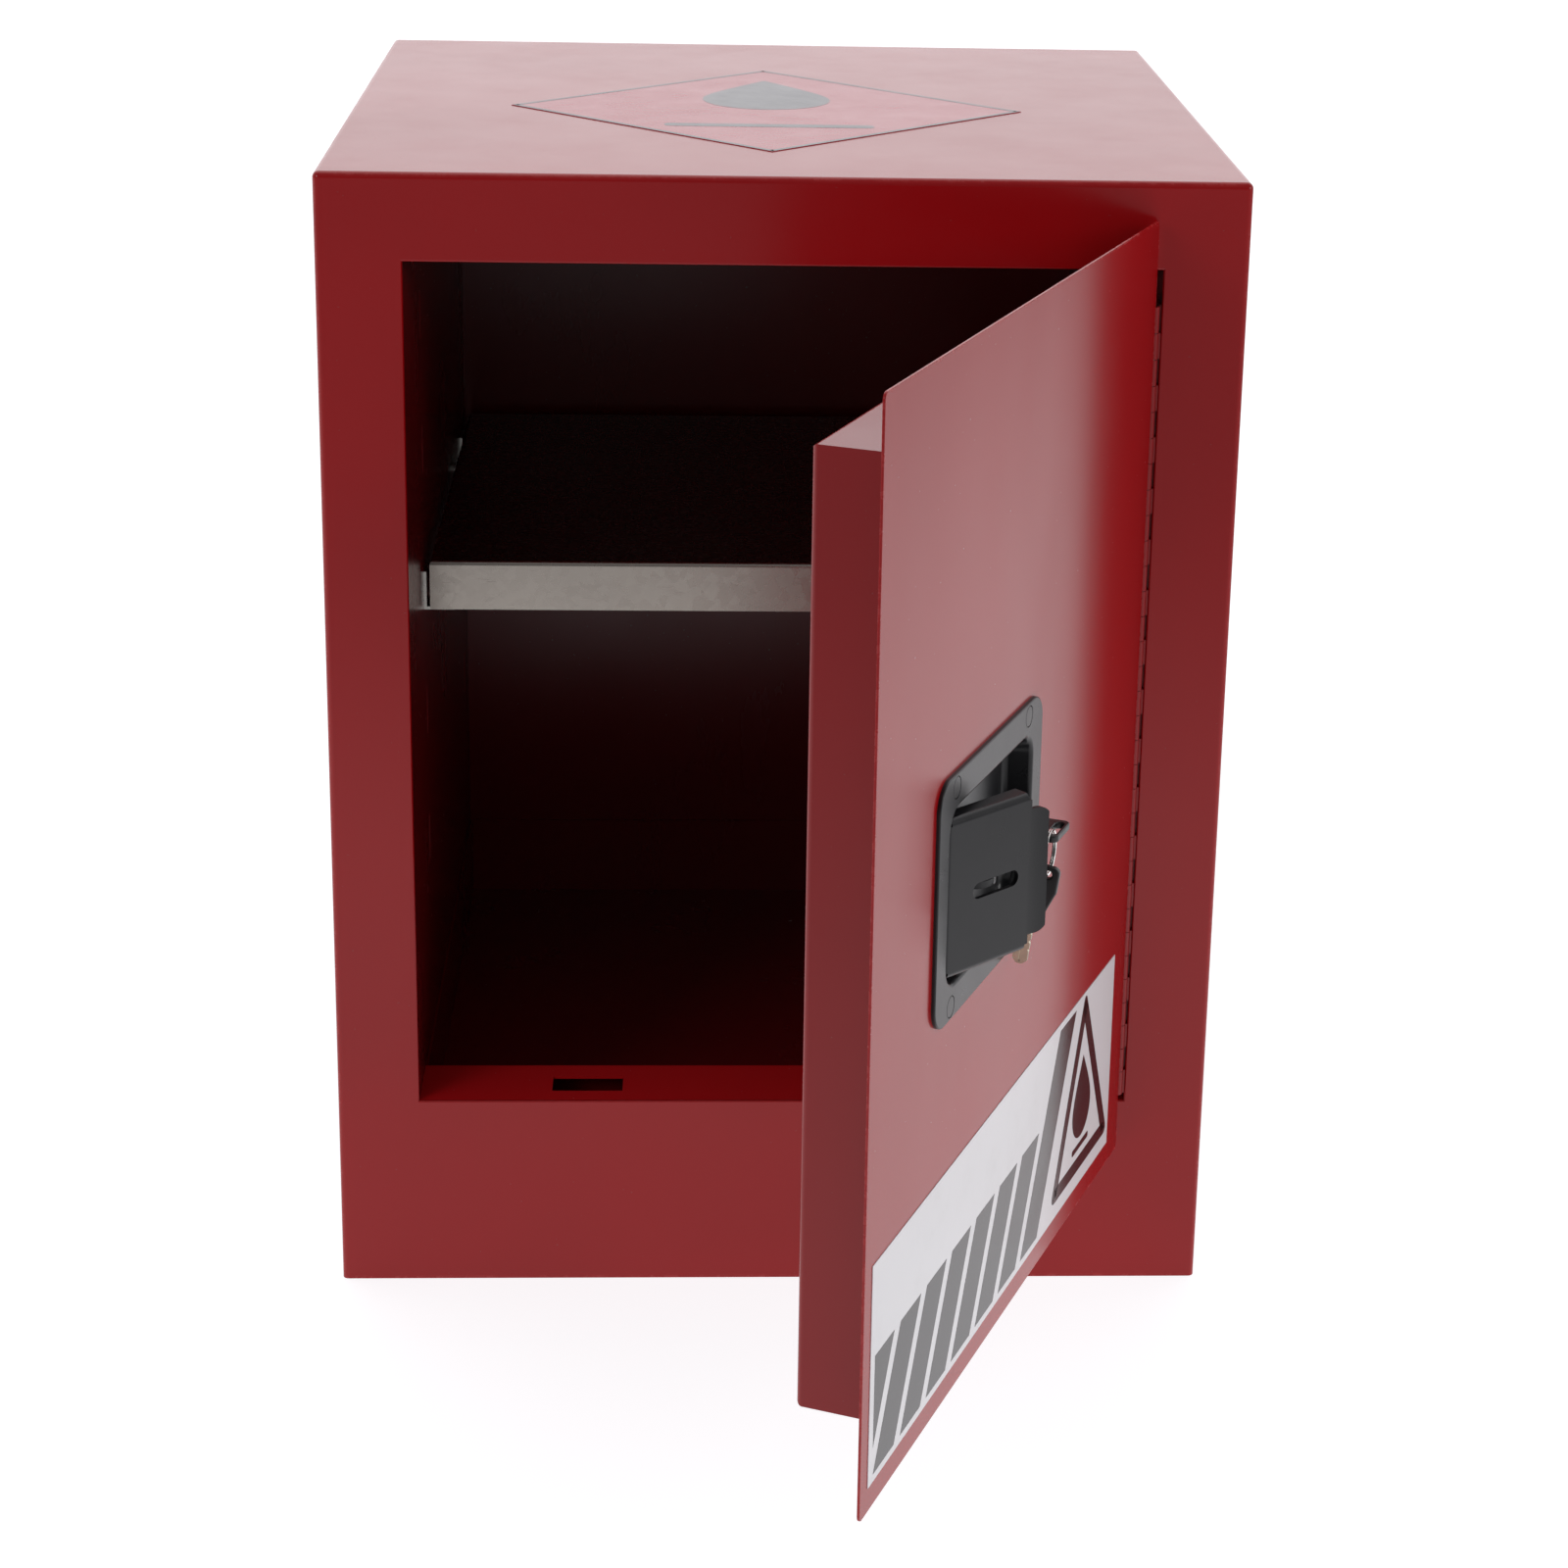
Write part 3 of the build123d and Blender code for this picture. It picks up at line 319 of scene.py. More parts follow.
@dataclass(frozen=True)
class GlossPaint(Finish):
    """Stoved gloss paint on sheet steel, with orange peel, soft smears, dust specks and lighter red edges,
    partly wear and partly a painted edge highlight.
    """

    colour: Colour = (0.33, 0.003, 0.005)
    # Lighter red of the edge mark: partly wear, partly a painted edge highlight.
    rubbed_and_highlit: Colour = (0.42, 0.03, 0.03)
    roughness: float = 0.2
    ior: float = 1.4
    turn: float = 0.0
    shift: Colour = (0.0, 0.0, 0.0)
    edges: EdgeBox | None = None

    def build(self, graph: Graph) -> None:
        """Fills the tree.

        Args:
            graph: the material's graph.
        """
        at = graph.place(self.turn, self.shift)
        drift = graph.noise(at, 5.0, 3.0)
        smear = graph.noise(graph.place(self.turn, self.shift, (1.0, 1.0, 0.35)), 22.0, 5.0, 0.6)
        peel = graph.noise(at, 420.0, 2.0)
        grain = graph.noise(at, 1900.0, 2.0)
        speck = graph.noise(at, 620.0, 0.0).above(0.86, 0.89)
        base = graph.mix(drift.above(0.3, 0.7) * 0.35, self.colour, shade(self.colour, 0.78))
        base = graph.mix(speck * 0.25, base, (0.05, 0.01, 0.01))
        rough = self.roughness + (smear - 0.5) * 0.10 + (drift - 0.5) * 0.06 + speck * 0.15
        # Edge mark: lighter red near the box edges, partly wear and partly a painted edge highlight.
        if self.edges is not None:
            wear_and_sheen = self.edges.mask(graph, at) * graph.noise(at, 130.0, 4.0, 0.7).above(0.42, 0.62)
            base = graph.mix(wear_and_sheen * 0.55, base, self.rubbed_and_highlit)
            rough = rough + wear_and_sheen * 0.12
        normal = graph.bump(peel, 0.00003, 0.35)
        normal = graph.bump(grain, 0.000006, 0.3, normal)
        graph.surface({"Base Color": base, "Roughness": rough, "IOR": self.ior, "Normal": normal})


@dataclass(frozen=True)
class RolledMetal(Finish):
    """Bare rolled or plated metal: fine rolling lines along one axis, stains and a faint spangle."""

    colour: Colour = (0.4, 0.38, 0.36)
    dull: Colour = (0.24, 0.22, 0.21)
    roughness: float = 0.3
    lines: Colour = (1.0, 24.0, 24.0)
    line_scale: float = 160.0
    spangle: float = 0.25
    turn: float = 0.0
    metallic: float = 1.0
    stain: float = 0.6
    relief: float = 1.0

    def build(self, graph: Graph) -> None:
        """Fills the tree.

        Args:
            graph: the material's graph.
        """
        at = graph.place(self.turn)
        along = graph.noise(graph.place(self.turn, (0, 0, 0), self.lines), self.line_scale, 3.0, 0.6)
        patch = graph.noise(at, 14.0, 5.0, 0.65)
        cells = graph.node("ShaderNodeTexVoronoi", {"feature": "F1"}, {"Vector": at, "Scale": 240.0}, "Color")
        flake = graph.node("ShaderNodeSeparateColor", {}, {0: cells}, 0)
        drawn = graph.place(self.turn + 0.5, (0, 0, 0), (3.0, 90.0, 60.0))
        scratch = graph.noise(drawn, 26.0, 1.0).above(0.70, 0.73)
        shade = patch.above(0.3, 0.72) * self.stain + (flake - 0.5) * self.spangle + (along - 0.5) * 0.3
        base = graph.mix(shade.most(0.0).least(1.0), self.colour, self.dull)
        rough = self.roughness + (patch - 0.5) * 0.36 * self.stain + (flake - 0.5) * 0.08 + scratch * 0.12
        normal = graph.bump(along, 0.00001, 0.4 * self.relief)
        normal = graph.bump(1.0 - scratch, 0.00001, 0.25 * self.relief, normal)
        graph.surface({"Base Color": base, "Roughness": rough, "Metallic": self.metallic, "Normal": normal})


@dataclass(frozen=True)
class BrightPlate(Finish):
    """Nickel or chrome plate with fine handling scratches and light finger haze."""

    colour: Colour = (0.72, 0.71, 0.69)
    roughness: float = 0.14

    def build(self, graph: Graph) -> None:
        """Fills the tree.

        Args:
            graph: the material's graph.
        """
        at = graph.place()
        haze = graph.noise(at, 180.0, 4.0, 0.6)
        swirl = graph.noise(graph.place(0.7, (0, 0, 0), (40.0, 4.0, 12.0)), 60.0, 2.0).above(0.62, 0.7)
        base = graph.mix(haze.above(0.35, 0.8) * 0.5, self.colour, shade(self.colour, 0.7))
        rough = self.roughness + (haze - 0.5) * 0.14 + swirl * 0.12
        normal = graph.bump(swirl, 0.000006, 0.4)
        graph.surface({"Base Color": base, "Roughness": rough, "Metallic": 1.0, "Normal": normal})


@dataclass(frozen=True)
class SatinBlack(Finish):
    """Fine-textured black coating on pressed steel, polished a little where hands rub it."""

    colour: Colour = (0.008, 0.008, 0.0095)
    roughness: float = 0.29
    ior: float = 1.44
    texture: float = 900.0
    relief: float = 0.000008

    def build(self, graph: Graph) -> None:
        """Fills the tree.

        Args:
            graph: the material's graph.
        """
        at = graph.place()
        grain = graph.noise(at, self.texture, 3.0, 0.6)
        rub = graph.noise(at, 60.0, 4.0, 0.6)
        dust = graph.noise(at, 1500.0, 1.0).above(0.74, 0.8)
        base = graph.mix(rub.above(0.35, 0.75) * 0.5, self.colour, shade(self.colour, 1.6))
        base = graph.mix(dust * 0.12, base, (0.2, 0.2, 0.21))
        rough = self.roughness + (rub - 0.5) * 0.08 + (grain - 0.5) * 0.05
        normal = graph.bump(grain, self.relief, 0.4)
        graph.surface({"Base Color": base, "Roughness": rough, "IOR": self.ior, "Normal": normal})


@dataclass(frozen=True)
class MouldedPlastic(Finish):
    """Black moulded plastic with an eroded texture and a sheen on scuffed spots."""

    colour: Colour = (0.010, 0.010, 0.011)

    def build(self, graph: Graph) -> None:
        """Fills the tree.

        Args:
            graph: the material's graph.
        """
        at = graph.place()
        grain = graph.noise(at, 3200.0, 2.0)
        wear_and_sheen = graph.noise(at, 140.0, 3.0)
        base = graph.mix(wear_and_sheen.above(0.4, 0.7) * 0.6, self.colour, shade(self.colour, 1.7))
        rough = 0.38 + (wear_and_sheen - 0.5) * 0.2 + (grain - 0.5) * 0.1
        normal = graph.bump(grain, 0.00002, 0.5)
        graph.surface({"Base Color": base, "Roughness": rough, "IOR": 1.5, "Normal": normal})


@dataclass(frozen=True)
class Vinyl(Finish):
    """Printed self-adhesive film: faint ripples from laying it, light handling dirt."""

    colour: Colour = (0.72, 0.71, 0.73)
    soiled: Colour = (0.60, 0.59, 0.60)
    roughness: float = 0.22
    ripple: float = 0.00012

    def build(self, graph: Graph) -> None:
        """Fills the tree.

        Args:
            graph: the material's graph.
        """
        at = graph.place()
        dirt = graph.noise(at, 35.0, 5.0, 0.65)
        wave = graph.noise(at, 11.0, 1.0)
        base = graph.mix(dirt.above(0.45, 0.8) * 0.35, self.colour, self.soiled)
        rough = self.roughness + (dirt - 0.5) * 0.14
        normal = graph.bump(wave, self.ripple, 0.4)
        graph.surface({"Base Color": base, "Roughness": rough, "IOR": 1.46, "Normal": normal})


@dataclass(frozen=True)
class StudioFloor(Finish):
    """Pale seamless studio floor with a hardly visible mottling and a painted glow: emission that fades away
    from the cabinet, a painted pool of light.
    """

    colour: Colour = (0.34, 0.34, 0.34)
    light: Colour = (0.985, 0.98, 1.0)
    far_light: Colour = (0.24, 0.24, 0.25)
    glow: float = 0.86

    def build(self, graph: Graph) -> None:
        """Fills the tree.

        Args:
            graph: the material's graph.
        """
        at = graph.place()
        cloud = graph.noise(at, 1.5, 3.0)
        base = graph.mix(cloud.above(0.3, 0.8) * 0.3, self.colour, shade(self.colour, 0.985))
        across, along = graph.axis(at, 0), graph.axis(at, 1)
        # Painted light: the floor glows by emission, full near the cabinet and fading to a dim glow farther
        # out toward the viewer and to the right, standing in for the softboxes' light and its falloff.
        glow_falloff = (across - along * 0.25).above(0.6, 1.9).most((0.0 - along).above(0.6, 1.7))
        light = graph.mix(glow_falloff, self.light, self.far_light)
        graph.surface({"Base Color": base, "Roughness": 0.6 + (cloud - 0.5) * 0.05, "IOR": 1.3,
                       "Emission Color": light, "Emission Strength": self.glow})


# ------------------------------------------------------------------ modelling bench
class Part(Enum):
    """What a selection is made of."""

    VERTICES = 0
    EDGES = 1
    FACES = 2


class Bench:
    """Modelling operators on one piece at a time; all sizes in metres."""

    @staticmethod
    def idle() -> None:
        """Leaves edit mode and deselects everything."""
        if bpy.context.object is not None and bpy.context.object.mode != "OBJECT":
            bpy.ops.object.mode_set(mode="OBJECT")
        bpy.ops.object.select_all(action="DESELECT")

    @staticmethod
    def leave() -> None:
        """Leaves edit mode and keeps the selection."""
        bpy.ops.object.mode_set(mode="OBJECT")

    @staticmethod
    def hold(piece: bpy.types.Object) -> None:
        """Makes a piece the only selected and active one.

        Args:
            piece: the piece.
        """
        Bench.idle()
        piece.select_set(True)
        bpy.context.view_layer.objects.active = piece

    @staticmethod
    def adopt(name: str) -> bpy.types.Object:
        """Names the primitive just added and applies its place.

        Args:
            name: the piece's name.

        Returns:
            The piece.
        """
        piece = bpy.context.object
        piece.name = name
        piece.data.name = name
        bpy.ops.object.transform_apply(location=True, rotation=True, scale=True)
        return piece

    @staticmethod
    def sheet(name: str, width: float, height: float, at: Sequence[float]) -> bpy.types.Object:
        """A flat rectangle in the XZ plane, facing -Y.

        Args:
            name: the piece's name.
            width: along X.
            height: along Z.
            at: its centre.

        Returns:
            The sheet.
        """
        Bench.idle()
        bpy.ops.mesh.primitive_plane_add(size=1.0, location=at, rotation=UPRIGHT)
        bpy.context.object.scale = (width, height, 1.0)
        return Bench.adopt(name)

    @staticmethod
    def disc(name: str, radius: float, at: Sequence[float], sides: int) -> bpy.types.Object:
        """A flat disc in the XZ plane, facing -Y.

        Args:
            name: the piece's name.
            radius: its radius.
            at: its centre.
            sides: edges round it.

        Returns:
            The disc.
        """
        Bench.idle()
        bpy.ops.mesh.primitive_circle_add(vertices=sides, radius=radius, fill_type="NGON", location=at,
                                          rotation=UPRIGHT)
        return Bench.adopt(name)

    @staticmethod
    def pick(piece: bpy.types.Object, part: Part, test: Test) -> None:
        """Goes to edit mode with the elements that pass a test selected.

        Args:
            piece: the piece.
            part: kind of element.
            test: takes the element's centre and its normal or direction.
        """
        Bench.hold(piece)
        mesh = piece.data
        for group in (mesh.vertices, mesh.edges, mesh.polygons):
            group.foreach_set("select", [False] * len(group))
        if part is Part.FACES:
            for face in mesh.polygons:
                face.select = test(face.center, face.normal)
        elif part is Part.EDGES:
            for edge in mesh.edges:
                a, b = (mesh.vertices[i].co for i in edge.vertices)
                edge.select = test((a + b) / 2, (b - a).normalized())
        else:
            for vertex in mesh.vertices:
                vertex.select = test(vertex.co, vertex.normal)
        modes = [False, False, False]
        modes[part.value] = True
        bpy.context.tool_settings.mesh_select_mode = modes
        bpy.ops.object.mode_set(mode="EDIT")

    @staticmethod
    def everything(piece: bpy.types.Object, part: Part = Part.FACES) -> None:
        """Goes to edit mode with all elements of one kind selected."""
        Bench.pick(piece, part, lambda centre, normal: True)

    @staticmethod
    def modify(piece: bpy.types.Object, kind: str, **settings: Any) -> None:
        """Adds a modifier and applies it.

        Args:
            piece: the piece.
            kind: the modifier's type.
            settings: its properties.
        """
        Bench.hold(piece)
        made = piece.modifiers.new(kind.title(), kind)
        for key, value in settings.items():
            setattr(made, key, value)
        bpy.ops.object.modifier_apply(modifier=made.name)

    @staticmethod
    def cut(piece: bpy.types.Object, *cutters: bpy.types.Object) -> None:
        """Cuts solids out of a piece and removes them.

        Args:
            piece: the piece.
            cutters: closed solids.
        """
        for cutter in cutters:
            Bench.modify(piece, "BOOLEAN", object=cutter, operation="DIFFERENCE", solver="EXACT")
            bpy.data.objects.remove(cutter)

    @staticmethod
    def add(piece: bpy.types.Object, *others: bpy.types.Object) -> None:
        """Unites solids with a piece and removes them.

        Args:
            piece: the piece.
            others: closed solids that overlap it.
        """
        for other in others:
            Bench.modify(piece, "BOOLEAN", object=other, operation="UNION", solver="EXACT")
            bpy.data.objects.remove(other)

    @staticmethod
    def punch(name: str, width: float, height: float, radius: float, front: float, back: float,
              path: Sequence[tuple[float, float]], steps: int = 12) -> bpy.types.Object:
        """A rounded block whose back face is pushed on along a profile.

        Args:
            name: the piece's name.
            width: of its straight part, along X.
            height: of its straight part, along Z.
            radius: of its corners.
            front: Y of its front.
            back: Y where the profile starts.
            path: (inset, depth) points, from (0, 0).
            steps: segments of each corner.

        Returns:
            The closed solid.
        """
        solid = Bench.plate(name, width, height, radius, front, back, (0, 0), steps)
        Bench.pick(solid, Part.FACES, lambda middle, normal: normal.y > 0.99)
        for (r0, d0), (r1, d1) in zip(path, path[1:]):
            bpy.ops.mesh.inset(thickness=max(r1 - r0, 0.000005), depth=d1 - d0, use_even_offset=True)
        Bench.leave()
        return solid

    @staticmethod
    def round_edges(piece: bpy.types.Object, width: float, segments: int = 2, angle: float = 35.0) -> None:
        """Rounds the sharp edges of a piece.

        Args:
            piece: the piece.
            width: radius.
            segments: steps of the rounding.
            angle: degrees between faces from which an edge counts as sharp.
        """
        Bench.modify(piece, "BEVEL", width=width, segments=segments, limit_method="ANGLE",
                     angle_limit=math.radians(angle), harden_normals=False)

    @staticmethod
    def tidy(piece: bpy.types.Object) -> None:
        """Merges doubles and turns the faces of a closed piece outward.

        Args:
            piece: the piece.
        """
        Bench.everything(piece, Part.VERTICES)
        bpy.ops.mesh.remove_doubles(threshold=0.000002)
        bpy.ops.mesh.select_all(action="SELECT")
        bpy.ops.mesh.normals_make_consistent(inside=False)
        Bench.leave()

    @staticmethod
    def close(piece: bpy.types.Object) -> None:
        """Fills the open ends of a swept piece and turns its faces outward.

        Args:
            piece: the piece.
        """
        Bench.pick(piece, Part.EDGES, lambda middle, direction: False)
        bpy.ops.mesh.select_non_manifold()
        bpy.ops.mesh.fill_holes(sides=0)
        Bench.tidy(piece)

    @staticmethod
    def raise_tip(piece: bpy.types.Object, from_height: float, rise: float, reach: float) -> None:
        """Draws the top of a disc up to a soft point.

        Args:
            piece: the disc.
            from_height: Z from which its vertices are picked.
            rise: how far the tip moves.
            reach: radius of the pull round the tip.
        """
        Bench.pick(piece, Part.VERTICES, lambda co, normal: co.z > from_height)
        bpy.ops.transform.translate(value=(0, 0, rise), use_proportional_edit=True,
                                    proportional_edit_falloff="SHARP", proportional_size=reach)

    @staticmethod
    def push(depth: float) -> None:
        """Extrudes the selected faces along Y."""
        bpy.ops.mesh.extrude_region_move(TRANSFORM_OT_translate={"value": (0, depth, 0)})

    @staticmethod
    def join(name: str, pieces: Sequence[bpy.types.Object]) -> bpy.types.Object:
        """Joins pieces into the first.

        Args:
            name: the joined piece's name.
            pieces: pieces to join.

        Returns:
            The joined piece.
        """
        Bench.idle()
        for piece in pieces:
            piece.select_set(True)
        bpy.context.view_layer.objects.active = pieces[0]
        if len(pieces) > 1:
            bpy.ops.object.join()
        pieces[0].name = name
        return pieces[0]

    @staticmethod
    def outline(name: str, width: float, height: float, radius: float, at: Sequence[float] = (0, 0, 0),
                steps: int = 10) -> bpy.types.Object:
        """A rounded rectangle in the XZ plane, one face toward -Y.

        Args:
            name: the piece's name.
            width: along X.
            height: along Z.
            radius: of its corners.
            at: its centre.
            steps: segments of each corner.

        Returns:
            The piece, in edit mode with the face selected.
        """
        piece = Bench.sheet(name, width, height, at)
        Bench.everything(piece, Part.VERTICES)
        bpy.ops.mesh.bevel(offset=radius, segments=steps, affect="VERTICES")
        Bench.leave()
        Bench.everything(piece)
        return piece

    @staticmethod
    def plate(name: str, width: float, height: float, radius: float, front: float, back: float,
              centre: Sequence[float] = (0, 0), steps: int = 10) -> bpy.types.Object:
        """A rounded plate between two Y values.

        Args:
            name: the piece's name.
            width: along X.
            height: along Z.
            radius: of its corners.
            front: Y of its front.
            back: Y of its back.
            centre: X and Z of its middle.
            steps: segments of each corner.

        Returns:
            The closed piece.
        """
        piece = Bench.outline(name, width, height, radius, (centre[0], front, centre[1]), steps)
        Bench.push(back - front)
        Bench.tidy(piece)
        return piece

    @staticmethod
    def drum(name: str, radius: float, front: float, back: float, centre: Sequence[float],
             sides: int = 48) -> bpy.types.Object:
        """A cylinder along Y.

        Args:
            name: the piece's name.
            radius: its radius.
            front: Y of one end.
            back: Y of the other end.
            centre: X and Z of its axis.
            sides: faces round it.

        Returns:
            The piece.
        """
        Bench.idle()
        bpy.ops.mesh.primitive_cylinder_add(
            vertices=sides, radius=radius, depth=abs(back - front),
            location=(centre[0], (front + back) / 2, centre[1]), rotation=(math.pi / 2, 0, 0))
        return Bench.adopt(name)

    @staticmethod
    def settle(piece: bpy.types.Object, place: Matrix, smooth: float | None = 30.0) -> bpy.types.Object:
        """Moves a finished mesh to its place and shades it.

        Args:
            piece: the piece, its object at the origin.
            place: from the piece's own coordinates to the frame's.
            smooth: degrees under which edges shade smooth, or None for flat.

        Returns:
            The piece.
        """
        Bench.hold(piece)
        piece.matrix_world = place
        bpy.ops.object.transform_apply(location=True, rotation=True, scale=True)
        if smooth is not None:
            bpy.ops.object.shade_smooth_by_angle(angle=math.radians(smooth))
            Bench.modify(piece, "WEIGHTED_NORMAL", keep_sharp=True, weight=80)
        Bench.idle()
        return piece


def dress(piece: bpy.types.Object, finish: Finish) -> None:
    """Gives a piece one finish.

    Args:
        piece: the piece or CAD node.
        finish: its finish.
    """
    piece.data.materials.clear()
    piece.data.materials.append(finish.material())


def dress_nodes(finishes: dict[str, Finish]) -> None:
    """Dresses CAD nodes and reports them.

    Args:
        finishes: the finish of each node.
    """
    for node, finish in finishes.items():
        dress(frame["nodes"][node], finish)
    LOG.info("dressed: %s", ", ".join(finishes))


def install(piece: bpy.types.Object, body: str, finish: Finish,
            instead_of: Sequence[str] = ()) -> None:
    """Dresses a new piece, rides it on its body and reports it.

    Args:
        piece: the finished piece.
        body: the CAD body it moves with.
        finish: its finish.
        instead_of: CAD nodes that it replaces.
    """
    dress(piece, finish)
    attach(piece, body)
    if instead_of:
        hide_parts(*instead_of)
    LOG.info("%s: %d faces on %s", piece.name, len(piece.data.polygons), body)


# ------------------------------------------------------------------ the door's own axes
@dataclass(frozen=True)
class DoorFrame:
    """Door coordinates: u from the hinge pin to the free edge, v from the face plane inward, z up."""

    pin: Vector
    inward: Vector

    @classmethod
    def from_record(cls) -> "DoorFrame":
        """Reads the hinge pin and the rocker's axis from the joints.

        Returns:
            The door's frame at rest.
        """
        joints = {joint["name"]: joint for joint in frame["joints"]}
        pin = Vector(joints["door_swing"]["pos_m"])
        pin.z = 0.0
        return cls(pin, Vector(joints["rocker_turn"]["axis"]).normalized())

    @property
    def angle(self) -> float:
        """Turn of the door about Z from closed, radians."""
        return math.atan2(-self.inward.x, self.inward.y)

    def place(self, u: float = 0.0, v: float = 0.0, z: float = 0.0, turn: float = 0.0) -> Matrix:
        """Matrix from a piece's own coordinates to the frame's.

        Args:
            u: origin's distance from the pin.
            v: origin's depth.
            z: origin's height.
            turn: further turn about Z there, radians.

        Returns:
            The matrix; the piece's X points to the hinge, its Y into the door.
        """
        door = Matrix.Translation(self.pin) @ Matrix.Rotation(self.angle, 4, "Z")
        return door @ Matrix.Translation((-u, v, z)) @ Matrix.Rotation(turn, 4, "Z")

    def shift(self) -> Colour:
        """Shift of a Mapping node that turns Object coordinates into door coordinates."""
        moved = Matrix.Rotation(-self.angle, 3, "Z") @ self.pin
        return (-moved.x, -moved.y, -moved.z)

    def uvz(self, point: Vector) -> Vector:
        """Door coordinates (u, v, z) of a point."""
        local = self.place().inverted() @ point
        return Vector((-local.x, local.y, local.z))

    def span(self, node: str) -> tuple[Vector, Vector]:
        """Lowest and highest (u, v, z) of a CAD node.

        Args:
            node: the node's name.

        Returns:
            The two corners in door coordinates.
        """
        points = [self.uvz(vertex.co) for vertex in frame["nodes"][node].data.vertices]
        low = Vector([min(p[i] for p in points) for i in range(3)])
        high = Vector([max(p[i] for p in points) for i in range(3)])
        return low, high


# ------------------------------------------------------------------ sub-assemblies
ZINC = (0.55, 0.54, 0.50)
DULL_ZINC = (0.35, 0.34, 0.31)


@dataclass
class CabinetBody:
    """Shell, liner, sump and sill: CAD nodes with paint and plate finishes, the liner's paint darkened as
    painted shade and the sill's lightened as painted light.
    """

    edge_wear_and_highlight_reach: float = 2.2 * MM

    def build(self) -> None:
        """Dresses the fixed cabinet's nodes."""
        low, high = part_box("outer_shell")
        # The shell's edges get the lighter red edge mark: partly wear, partly a painted edge highlight.
        edges = EdgeBox(tuple(low), tuple(high), self.edge_wear_and_highlight_reach)
        paint = GlossPaint("cabinet_gloss_red", edges=edges)
        # Painted shade: the liner, inner back and sump take the shell's red darkened to about half, the dark
        # of the interior painted into the colour.
        liner = GlossPaint("liner_red_painted_shade", colour=(0.16, 0.003, 0.005), roughness=0.26, ior=1.4)
        # Painted light: the sill's red is lightened to about twice the shell's, standing in for light falling
        # on it from the front top.
        sill = GlossPaint("sill_red_painted_light", colour=(0.65, 0.010, 0.014), roughness=0.24)
        plate = RolledMetal("zinc_plate", colour=ZINC, dull=DULL_ZINC, lines=(8.0, 8.0, 40.0))
        dress_nodes({
            "outer_shell": paint, "rear_panel": paint, "base_panel": paint,
            "inner_liner": liner, "inner_back": liner, "sump_tray": liner, "sill_plate": sill,
            "tray_bearers": plate, "shelf_clips": plate, "hinge_pin": plate,
        })


@dataclass
class Shelf:
    """Lift-out galvanised shelf."""

    def build(self) -> None:
        """Dresses the shelf."""
        steel = RolledMetal("galvanised_sheet", colour=(0.36, 0.325, 0.29), dull=(0.27, 0.245, 0.225),
                            roughness=0.26, lines=(1.0, 30.0, 30.0), line_scale=120.0, spangle=0.05,
                            stain=0.3, relief=0.25)
        dress_nodes({"shelf": steel})


